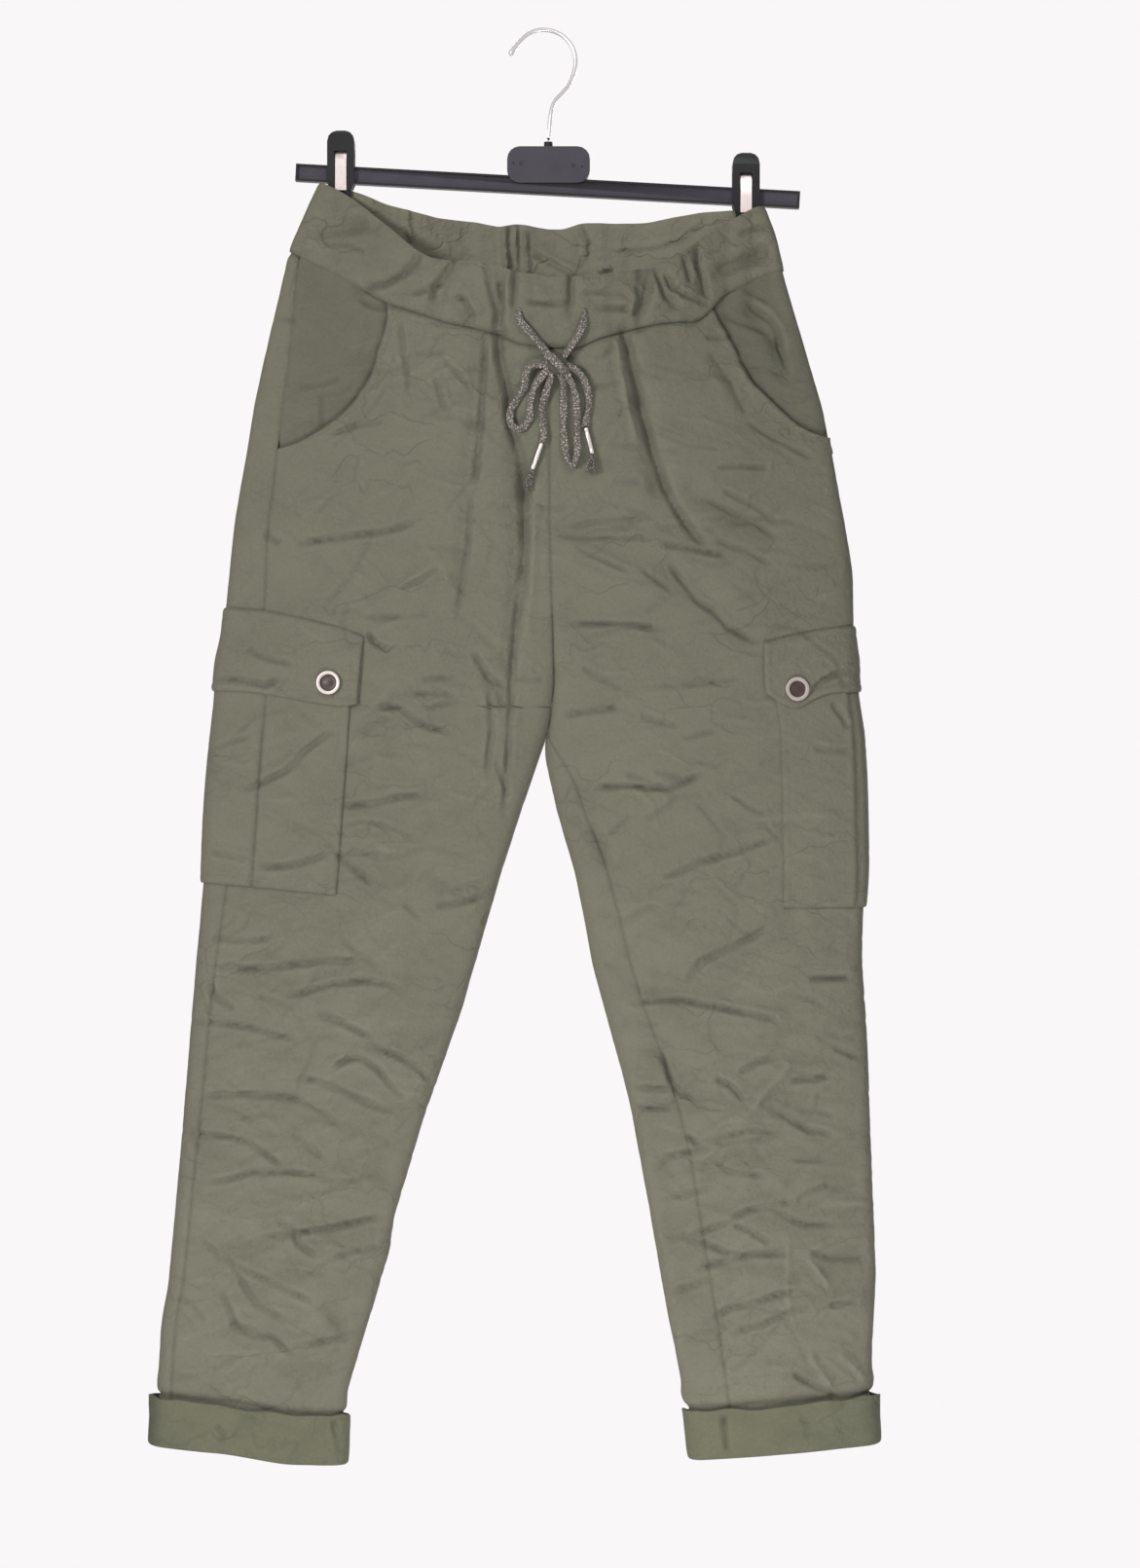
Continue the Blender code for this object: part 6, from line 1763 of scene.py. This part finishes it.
def add_leg(side, panel, material):
    counts, columns = LEG_GRIDS[panel]
    levels = leg_rows(*counts)
    first, last = panel_ends(side, panel, levels)
    if panel == "front":
        mouth = np.minimum(last, mouth_turns(side, levels))
        last = np.where(levels > MOUTH_LEVEL, mouth, last)
    turns, heights, before, after = spread(side, first, last, levels, tucked_height(side), columns)
    bulk, fine, line = relief(side, turns, heights)
    lift = bulk + fine + edge_dip(before) + edge_dip(after)
    lift += edge_dip((levels[0] - levels)[:, None] + 0.0 * turns, 1.4, 2.2)
    if panel == "front":
        beside_mouth = after + 40.0 * ease((MOUTH_LEVEL + 6.0 - levels) / 6.0)[:, None]
        pucker = 0.6 + 0.5 * np.sin(heights / 3.1) * np.sin(heights / 7.7 + 1.0)
        lift += 1.5 * pucker * hump(beside_mouth - 2.6, 3.2)
    lift -= LAYER_SINK * under_layers(side, turns, heights)
    tucked, over_cuff = above_cuff(side, turns, heights)
    lift += tucked
    # Painted shade: crease light and shade, and shadow painted along the seams, under the
    # waistband, in the trough above the cuff and beside the pocket mouth.
    shade = crease_shade(fine, line) + seam_shade(np.minimum(before, after))
    shade += seam_shade((levels[0] - levels)[:, None], 3.0, 2.1)
    shade += seam_shade(over_cuff - 0.8, 2.6, 2.0)
    if panel == "front":
        shade += seam_shade(beside_mouth, 1.8, 1.3)
    outer = cloth_point(side, turns, heights, lift)
    if panel == "front":
        rows = np.flatnonzero(levels > MOUTH_LEVEL + 14.0)
        lines = [np.array([np.interp(MOUTH_STITCH, after[row, ::-1], grid[row, ::-1])
                           for row in rows])
                 for grid in (*np.moveaxis(outer, -1, 0), turns, heights)]
        outward = ring_normal(side, lines[3], lines[4])
        sewing["mouth_" + SIDE_NAMES[side]] = [(np.stack(lines[:3], axis=-1), outward)]
    return sewn_piece(panel, side, outer, turns, heights, lowest(lift, COARSE) - CLOTH,
                      (before - after) / 2.0, shade, material)


def add_facing(side, material):
    """Cloth that shows inside the hip pocket's mouth."""
    levels = np.linspace(TOP_LEVEL, MOUTH_LEVEL, 89)
    last = panel_ends(side, "front", levels)[1]
    mouth = np.minimum(mouth_turns(side, levels), last - 0.012)
    z = row_height(side, mouth, levels)
    edge = fold_distance(side, mouth, z)
    first = turn_from_fold(side, edge + MOUTH_OVERLAP, z)
    turns, heights, before, after = spread(side, first, last, levels, tucked_height(side), 49)
    distance = fold_distance(side, turns, heights)
    step = ease((edge[:, None] - distance) / MOUTH_STEP_IN)
    bulk, fine, line = relief(side, turns, heights)
    lift = bulk + fine * 0.7 - (CLOTH + FACING_GAP) * (1.0 - step) + edge_dip(after)
    outer = cloth_point(side, turns, heights, lift)
    # painted shadow inside the pocket mouth, uneven along its edge
    ragged = 0.65 + 0.35 * np.sin(heights / 4.3) * np.sin(heights / 9.1)
    shade = crease_shade(fine, line) + ragged * seam_shade(edge[:, None] - distance, 4.2, 3.4)
    return sewn_piece("hip_facing", side, outer, turns, heights, lowest(lift, COARSE) - CLOTH,
                      before, shade, material)


# depth, half width and painted shade of the front and the rear pleat line
PLEATS = {-1: ((1.7, 1.3, 1.8), (1.5, 1.6, 1.0)), 1: ((3.2, 2.0, 4.0), (1.5, 1.6, 1.0))}
BELLY_FADE = 30.0
HEM_BAND = 6.5
STITCH_DIP = 0.3


def laid_heights(side, tops, bottoms):
    """Heights of a laid piece by turn and share of the way down, its edges being lines
    over the distance from the outer fold."""
    def height(turn, share):
        turn, share = np.broadcast_arrays(turn, share)
        z = np.full(turn.shape, -500.0)
        for _ in range(4):
            distance = fold_distance(side, turn, z)
            z = tops(distance) * (1.0 - share) + bottoms(distance) * share
        return z
    return height


def laid_ends(side, front_edge, rear_edge, tops, bottoms, shares):
    ends = []
    for distance in (front_edge, rear_edge):
        z = tops(distance) * (1.0 - shares) + bottoms(distance) * shares
        ends.append(turn_from_fold(side, np.full(z.shape, distance), z))
    return ends


def even_shares(count):
    shares = np.linspace(0.0, 1.0, count)
    shares[1] = shares[2] * 0.3
    shares[-2] = 1.0 - shares[1]
    return shares


def add_pocket(side, material):
    """Patch pocket with a pleat along each side of its middle."""
    cut = POCKETS[side]
    shares = even_shares(101)

    def tops(distance):
        return cut["top"] + 0.0 * np.asarray(distance)

    def bottoms(distance):
        return read(POCKET_BOTTOMS, COLUMN[side], distance)

    first, last = laid_ends(side, cut["front"], cut["rear"], tops, bottoms, shares)
    height = laid_heights(side, tops, bottoms)
    turns, heights, before, after = spread(side, first, last, shares, height, 109)
    distance = fold_distance(side, turns, heights)
    from_edge = np.minimum(before, after)
    below = np.clip((shares - 0.12) / 0.88, 0.0, 1.0)[:, None]
    belly = POCKET_BELLY * ease(from_edge / BELLY_FADE) * np.sin(math.pi * below)
    bulk, fine, line = relief(side, turns, heights)
    from_bottom = heights - bottoms(distance)
    hem_line = np.minimum(from_edge, from_bottom)
    lift = LAY_GAP + POCKET_CLOTH + belly + bulk + fine
    # painted shade along the hems and in the pleat lines
    shade = crease_shade(fine, line) + seam_shade(hem_line, 1.4)
    for place, (depth, half_width, pleat_shade) in zip(cut["pleats"], PLEATS[side]):
        fold_line = (distance - place) / half_width
        lift -= depth * hump(fold_line, 1.0) * (belly * 0.25 + 0.75)
        lift += 0.5 * hump(fold_line - 2.4, 1.2)
        shade += seam_shade(distance - place, pleat_shade, half_width * 0.8)
    lift -= STITCH_DIP * hump(hem_line - HEM_BAND, 0.9)
    lift += edge_dip(hem_line, 1.0, 0.9)
    outer = cloth_point(side, turns, heights, lift)
    steps = hemmed(before, after, from_bottom, from_bottom, 12)
    sewing["pocket_" + SIDE_NAMES[side]] = [sewn(side, turns, heights, outer, steps)]
    return sewn_piece("cargo_pocket", side, outer, turns, heights, lowest(lift, COARSE) - CLOTH,
                      (before - after) / 2.0, shade, material)


def flap_lift(z, pocket_top):
    """Stand-off of a flap's underside, which steps over the pocket's top edge."""
    over = LAY_GAP + POCKET_CLOTH + LAY_GAP
    return LAY_GAP + (over - LAY_GAP) * ease((pocket_top + 34.0 - z) / 26.0)


def add_flap(side, material):
    """Pocket flap sewn on above the pocket and lying over its top edge."""
    rows = FLAP_EDGES[side]
    shares = even_shares(49)

    def tops(distance):
        return read(rows, 1, distance)

    def bottoms(distance):
        return read(rows, 2, distance)

    first, last = laid_ends(side, rows[-1][0], rows[0][0], tops, bottoms, shares)
    height = laid_heights(side, tops, bottoms)
    turns, heights, before, after = spread(side, first, last, shares, height, 121)
    distance = fold_distance(side, turns, heights)
    bulk, fine, line = relief(side, turns, heights)
    from_side = np.minimum(before, after)
    from_bottom = heights - bottoms(distance)
    from_top = tops(distance) - heights
    free = np.minimum(from_side, from_bottom)
    lift = flap_lift(heights, POCKETS[side]["top"]) + CLOTH + bulk + fine
    lift -= STITCH_DIP * hump(free - HEM_BAND, 0.9)
    lift -= STITCH_DIP * hump(from_top - HEM_BAND, 0.9)
    lift += 0.35 * hump(free - 2.8, 2.0)
    lift += edge_dip(free, 0.8, 0.9) + edge_dip(from_top, 0.9, 1.1)
    outer = cloth_point(side, turns, heights, lift)
    steps = hemmed(before, after, from_top, from_bottom, None)
    sewing["flap_" + SIDE_NAMES[side]] = [sewn(side, turns, heights, outer, steps)]
    low = np.maximum(lowest(lift, COARSE) - CLOTH, bulk + lowest(fine, COARSE) + 0.1)
    # painted shade under the top seam and along the free edges
    shade = crease_shade(fine, line) + seam_shade(from_top, 1.6) + seam_shade(free, 1.2, 0.8)
    return sewn_piece("cargo_flap", side, outer, turns, heights, low, (before - after) / 2.0,
                      shade, material)


def add_band(panel, material):
    """Gathered waistband over the front or the rear, both faces finished."""
    shares = even_shares(33)
    grids = []
    for side in SIDES:
        seam_turn = float(side_seam(side, BAND_MIDDLE))
        gap = float(gap_turn(side, seam_turn, BAND_MIDDLE))
        start, end = (0.0, seam_turn - gap) if panel == "front" else (2.0, seam_turn + gap)
        middle = np.array([0.5])

        def height(turn, share, side=side):
            top = band_edges(side, turn, 1)
            return top * (1.0 - share) + band_edges(side, turn, 2) * share

        turns = spread(side, np.array([start]), np.array([end]), middle, height, 145)[0][0]
        turns = np.repeat(turns[None, :], len(shares), axis=0)
        heights = height(turns, shares[:, None])
        bulk, fine, line = relief(side, turns, heights)
        lift = BAND_LIFT + bulk + fine
        top = band_edges(side, turns, 1)
        seam = band_edges(side, turns, 2)
        rolled = edge_dip(top - heights, 0.7, 1.2) + edge_dip(heights - seam, 0.6, 1.2)
        outer = cloth_point(side, turns, heights, lift + rolled)
        inner = cloth_point(side, turns, heights, lift - BAND_CLOTH - rolled * 0.8)
        run = run_along(outer[16]) * side
        uv = np.stack([np.repeat(run[None, :], len(shares), axis=0), heights], axis=-1)
        # painted shade along the waist seam
        shade = crease_shade(fine, line) + seam_shade(heights - seam, 2.6, 1.6)
        grids.append((outer, inner, uv, shade))
    outer, inner, uv, shade = (
        np.concatenate([grids[0][part][:, ::-1], grids[1][part][:, 1:]], axis=1)
        for part in range(4))
    name = "waistband_" + panel + "_cloth"
    piece = shell(name, outer, inner, 1, uv, shade, material, painted_light=INSIDE_PAINTED_LIGHT)
    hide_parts("waistband_" + panel)
    return piece


CUFF_COLUMNS = 192
# painted shadow at the inner end of each cuff, stronger on the right cuff
CUFF_END_SHADE = {-1: 3.4, 1: 0.8}
CUFF_STEPS = 36


def add_cuff(side, material):
    """Turned-up hem: a ring that starts under the leg's edge and folds up outside it."""
    rows = np.array(CUFF_PROFILE)
    runs = np.hypot(np.diff(rows[:, 0]), np.diff(rows[:, 2]) * 2.0 + np.diff(rows[:, 1]) * 2.0)
    run = np.concatenate([[0.0], np.cumsum(runs)])
    at = np.linspace(0.0, run[-1], CUFF_STEPS * 4)
    weights = np.hanning(15)
    weights = weights / weights.sum()
    profile = []
    for column in range(4):
        line = np.interp(at, run, rows[:, column])
        padded = np.pad(line, 7, mode="reflect", reflect_type="odd")
        profile.append(np.convolve(padded, weights, "valid"))
    profile = np.stack(profile, axis=1)[np.linspace(0, len(at) - 1, CUFF_STEPS + 1).astype(int)]
    turns = np.linspace(0.0, 2.0, CUFF_COLUMNS, endpoint=False)
    across = across_share(turns)
    hem = hem_height(side, across)
    stand = CUFF_STAND_INNER + (CUFF_STAND_OUTER - CUFF_STAND_INNER) * ease(across * 1.4)
    wavy = sum(height * np.sin(turns * pace * math.pi + phase * side)
               for height, pace, phase in ((0.9, 3.0, 0.4), (0.8, 7.0, 1.0), (0.6, 12.0, 2.0)))
    from_end = (1.0 - across) * ring_width(side, hem)
    end_shade = seam_shade(from_end, CUFF_END_SHADE[side], 6.0)
    outer = []
    inner = []
    shades = []
    for height, share, outside, inside in profile:
        up = ease((height - 4.0) / 24.0)
        z = hem + height + wavy * up * 0.8
        bulk, fine, line = relief(side, turns, z)
        body = bulk + fine * (0.8 + 0.5 * up)
        lower = np.where(height < -4.0, 1.3, 0.0)
        outer.append(cloth_point(side, turns, z, stand * share + outside + body))
        inner.append(cloth_point(side, turns, z + lower, stand * share + inside + body))
        shades.append(crease_shade(fine, line) + end_shade)
    outer = np.array(outer)
    inner = np.array(inner)
    round_it = run_along(outer[20])
    drop = np.concatenate([[0.0], np.cumsum(np.abs(np.diff(profile[:, 0])))])
    uv = np.stack(np.broadcast_arrays(round_it[None, :], drop[:, None]), axis=-1)
    name = "cuff_" + SIDE_NAMES[side] + "_cloth"
    piece = shell(name, outer, inner, 1, uv, np.array(shades), material, closed=True)
    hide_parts("cuff_" + SIDE_NAMES[side])
    return piece


cloth = {}
for leg_side in SIDES:
    word = SIDE_NAMES[leg_side]
    for panel in LEG_GRIDS:
        cloth[panel + "_" + word] = add_leg(leg_side, panel, FINISHES["olive"])
    cloth["hip_facing_" + word] = add_facing(leg_side, FINISHES["facing"])
    cloth["cargo_pocket_" + word] = add_pocket(leg_side, FINISHES["olive"])
    cloth["cargo_flap_" + word] = add_flap(leg_side, FINISHES["olive"])
    cloth["cuff_" + word] = add_cuff(leg_side, FINISHES["cuff"])
for panel in LEG_GRIDS:
    cloth["waistband_" + panel] = add_band(panel, FINISHES["band"])

for place, runs in sewing.items():
    add_stitches("stitches_" + place, runs, FINISHES["thread"])

CLOTH_SLOTS = {
    "front": "olive_cotton", "rear": "olive_cotton", "cargo": "olive_cotton",
    "hip": "facing_cotton", "cuff": "cuff_cotton", "waistband": "waistband_cotton",
}
for name, piece in cloth.items():
    declare(piece, CLOTH_SLOTS[name.split("_")[0]])

# ---------------------------------------------------------------- buttons

BUTTON_RADIUS = 8.5
BUTTON_SUNK = 5.9
BUTTON_EDGE = 1.0
BUTTON_THICKNESS = 2.8
BUTTON_MIDDLE = 1.9
LOBE_REACH = 4.2


def select_faces(shape, test):
    for face in shape.faces:
        face.select_set(test(face))
    bmesh.update_edit_mesh(bpy.context.object.data)


def add_button(side, material):
    """Cast button: a rounded rim, a sunk centre and two low lobes in it."""
    distance, height = BUTTONS[side]
    turn = float(turn_from_fold(side, distance, height))
    bulk, fine, _ = relief(side, turn, height)
    lift = float(flap_lift(height, POCKETS[side]["top"]) + bulk + fine) + CLOTH + 0.1
    place = Vector(cloth_point(side, turn, height, lift)) * MM
    normal = Vector(ring_normal(side, turn, height))
    deselect()
    bpy.ops.mesh.primitive_cylinder_add(
        vertices=64, radius=BUTTON_RADIUS * MM, depth=BUTTON_THICKNESS * MM,
        end_fill_type="NGON", location=place + normal * BUTTON_MIDDLE * MM,
        rotation=normal.to_track_quat("Z", "Y").to_euler())
    button = bpy.context.object
    bpy.ops.object.mode_set(mode="EDIT")
    bpy.ops.mesh.select_mode(type="FACE")
    shape = bmesh.from_edit_mesh(button.data)
    select_faces(shape, lambda face: face.normal.z > 0.9)
    bpy.ops.mesh.inset(thickness=BUTTON_EDGE * MM)
    bpy.ops.mesh.inset(thickness=(BUTTON_RADIUS - BUTTON_EDGE - BUTTON_SUNK) * MM)
    bpy.ops.mesh.inset(thickness=0.5 * MM, depth=-1.3 * MM)
    bpy.ops.mesh.inset(thickness=2.0 * MM, depth=-0.15 * MM)
    bpy.ops.mesh.inset(thickness=1.5 * MM, depth=0.3 * MM)
    bpy.ops.object.mode_set(mode="OBJECT")
    rim = button.modifiers.new("rounded", "BEVEL")
    rim.width = 0.45 * MM
    rim.segments = 3
    rim.limit_method = "ANGLE"
    rim.angle_limit = math.radians(40.0)
    bpy.ops.object.modifier_apply(modifier="rounded")
    flat = [vert.co.copy() for vert in button.data.vertices]
    for vert, point in zip(button.data.vertices, flat):
        radius = math.hypot(point.x, point.y) / MM
        if radius < LOBE_REACH and point.z > -0.5 * MM:
            lobe = abs(math.cos(math.atan2(point.y, point.x))) ** 3
            vert.co.z += (0.55 * lobe - 0.1) * MM * ease(1.0 - radius / 4.4)
    radii = [math.hypot(point.x, point.y) / MM for point in flat]
    sunk = [float(ease((BUTTON_SUNK + 0.1 - radius) / 0.5)) for radius in radii]
    set_value(button.data, "centre", sunk)
    bpy.ops.object.shade_smooth_by_angle(angle=math.radians(50.0))
    piece = shaped("button_" + SIDE_NAMES[side] + "_cast", material)
    declare(piece, "button_metal", "button_" + SIDE_NAMES[side])


for button_side in SIDES:
    add_button(button_side, FINISHES["button"])

# ---------------------------------------------------------------- hanger

BEVEL_FROM = math.radians(28.0)
BAR_DEPTH = 7.0
BLOCK_REACH = (-26.2, 33.8)
BLOCK_LOW = -108.6
BLOCK_FACE = 4.6
BLOCK_FRONT = 5.0
BLOCK_MARKS = (
    # x, z and radius of the small moulding marks on the front face of the block
    (-21.5, -94.5, 0.8), (-15.9, -94.8, 1.2), (21.5, -96.2, 1.2), (27.8, -97.0, 0.8),
)


def dressed(node_name, name, material, slot, width, segments):
    """Copy of a hard solid with its flat faces whole again and its edges rounded."""
    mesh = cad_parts[node_name].data.copy()
    mesh.name = name
    shape = bmesh.new()
    shape.from_mesh(mesh)
    bmesh.ops.remove_doubles(shape, verts=shape.verts, dist=0.00002)
    bmesh.ops.dissolve_limit(shape, angle_limit=math.radians(1.0), verts=shape.verts,
                             edges=shape.edges)
    shape.to_mesh(mesh)
    shape.free()
    mesh.materials.clear()
    piece = add_piece(name, mesh, material)
    if width:
        rounded = piece.modifiers.new("rounded", "BEVEL")
        rounded.width = width * MM
        rounded.segments = segments
        rounded.limit_method = "ANGLE"
        rounded.angle_limit = BEVEL_FROM
        rounded.miter_outer = "MITER_ARC"
    mesh.shade_smooth()
    mesh.set_sharp_from_angle(angle=math.radians(35.0))
    declare(piece, slot, node_name)
    return piece


def greyed_parts(mesh):
    """Which points of the bar are coloured purple-grey: its channel and the face of its block."""
    values = []
    for vert in mesh.vertices:
        x, y, z = vert.co / MM
        in_block = BLOCK_REACH[0] < x < BLOCK_REACH[1] and z > BLOCK_LOW - 1.0
        face = abs(y) > BLOCK_FACE and in_block
        channel = abs(y) < BAR_DEPTH / 2.0 - 1.0 and not in_block
        values.append(1.0 if face or channel else 0.0)
    return values


def add_mark(number, x, z, radius, material):
    """Small round moulding mark with a sunk middle on the front face of the block."""
    deselect()
    bpy.ops.mesh.primitive_cylinder_add(
        vertices=20, radius=radius * MM, depth=0.8 * MM, end_fill_type="NGON",
        location=Vector((x, -BLOCK_FRONT + 0.15, z)) * MM, rotation=(math.radians(90.0), 0.0, 0.0))
    bpy.ops.object.mode_set(mode="EDIT")
    bpy.ops.mesh.select_mode(type="FACE")
    shape = bmesh.from_edit_mesh(bpy.context.object.data)
    select_faces(shape, lambda face: face.normal.z > 0.9)
    bpy.ops.mesh.inset(thickness=radius * 0.3 * MM)
    bpy.ops.mesh.inset(thickness=radius * 0.1 * MM, depth=-0.45 * MM)
    bpy.ops.object.mode_set(mode="OBJECT")
    set_value(bpy.context.object.data, "greyed", [0.0] * len(bpy.context.object.data.vertices))
    declare(shaped("hanger_block_mark_" + str(number), material), "hanger_plastic")


for number, mark in enumerate(BLOCK_MARKS):
    add_mark(number, *mark, FINISHES["plastic"])
bar = dressed("hanger_bar", "hanger_bar_moulding", FINISHES["plastic"], "hanger_plastic", 0.5, 3)
set_value(bar.data, "greyed", greyed_parts(bar.data))
hook = dressed("hanger_hook", "hanger_hook_wire", FINISHES["hook"], "hook_steel", 0.0, 0)
smoother = hook.modifiers.new("smooth", "SUBSURF")
smoother.levels = 1
smoother.render_levels = 1
for clip_word in SIDE_NAMES.values():
    clip = dressed("clip_" + clip_word + "_body", "clip_" + clip_word + "_moulding",
                   FINISHES["plastic"], "hanger_plastic", 0.55, 3)
    set_value(clip.data, "greyed", [0.0] * len(clip.data.vertices))
    dressed("clip_" + clip_word + "_spring", "clip_" + clip_word + "_leaf",
            FINISHES["spring"], "spring_steel", 0.18, 2)

# ---------------------------------------------------------------- floor and light

FLOOR_LEVEL = -1.35
FLOOR_RADIUS = 1.0
FLOOR_THICKNESS = 0.02
PALE = (0.86, 0.85, 0.855)
LIGHTS = (
    # name, place, what it is aimed at, size, power, colour
    ("key", (-1.3, -2.0, -0.1), (0.0, 0.0, -0.7), 0.5, 27.0, (1.0, 0.985, 0.97)),
    ("high", (0.3, -1.6, 0.8), (0.0, 0.0, -0.4), 0.6, 7.0, (1.0, 0.985, 0.97)),
    ("low", (0.1, -0.95, -1.27), (0.0, 0.0, -1.0), 0.4, 6.6, (1.0, 0.985, 0.965)),
    ("back", (1.3, 2.0, -0.1), (0.0, 0.0, -0.7), 0.5, 24.0, (1.0, 0.985, 0.97)),
    ("back_high", (-0.3, 1.6, 0.8), (0.0, 0.0, -0.4), 0.6, 7.0, (1.0, 0.985, 0.97)),
)


def add_floor():
    deselect()
    bpy.ops.mesh.primitive_cylinder_add(
        vertices=96, radius=FLOOR_RADIUS, depth=FLOOR_THICKNESS,
        location=(0.0, 0.0, FLOOR_LEVEL - FLOOR_THICKNESS / 2.0))
    floor = bpy.context.object
    floor.name = "floor"
    material, shader = new_finish("floor_pale", PALE, 0.8)
    cloud = noise(material, object_place(material), 0.3, 2.0)
    feed(shader, "Base Color", tinted(material, PALE, scaled(material, cloud, 0.04, 0.98)))
    floor.data.materials.append(material)


def add_light(name, place, aim, size, power, colour):
    data = bpy.data.lights.new(name, "AREA")
    data.shape = "DISK"
    data.size = size
    data.energy = power
    data.color = colour
    light = bpy.data.objects.new(name, data)
    light.location = place
    light.rotation_euler = (Vector(aim) - Vector(place)).to_track_quat("-Z", "Y").to_euler()
    bpy.context.scene.collection.objects.link(light)


def add_world():
    world = bpy.data.worlds.new("studio")
    world.use_nodes = True
    tree = world.node_tree
    back = tree.nodes["Background"]
    back.inputs["Color"].default_value = (0.97, 0.955, 0.96, 1.0)
    back.inputs["Strength"].default_value = 0.26
    seen = tree.nodes.new("ShaderNodeBackground")
    seen.inputs["Color"].default_value = (0.955, 0.93, 0.94, 1.0)
    seen.inputs["Strength"].default_value = 1.0
    path = tree.nodes.new("ShaderNodeLightPath")
    bright = tree.nodes.new("ShaderNodeMath")
    bright.operation = "MAXIMUM"
    mix = tree.nodes.new("ShaderNodeMixShader")
    tree.links.new(path.outputs["Is Camera Ray"], bright.inputs[0])
    tree.links.new(path.outputs["Is Glossy Ray"], bright.inputs[1])
    tree.links.new(bright.outputs[0], mix.inputs[0])
    tree.links.new(back.outputs[0], mix.inputs[1])
    tree.links.new(seen.outputs[0], mix.inputs[2])
    tree.links.new(mix.outputs[0], tree.nodes["World Output"].inputs["Surface"])
    bpy.context.scene.world = world


add_floor()
add_world()
for light in LIGHTS:
    add_light(*light)
bpy.context.scene.view_settings.view_transform = "Standard"
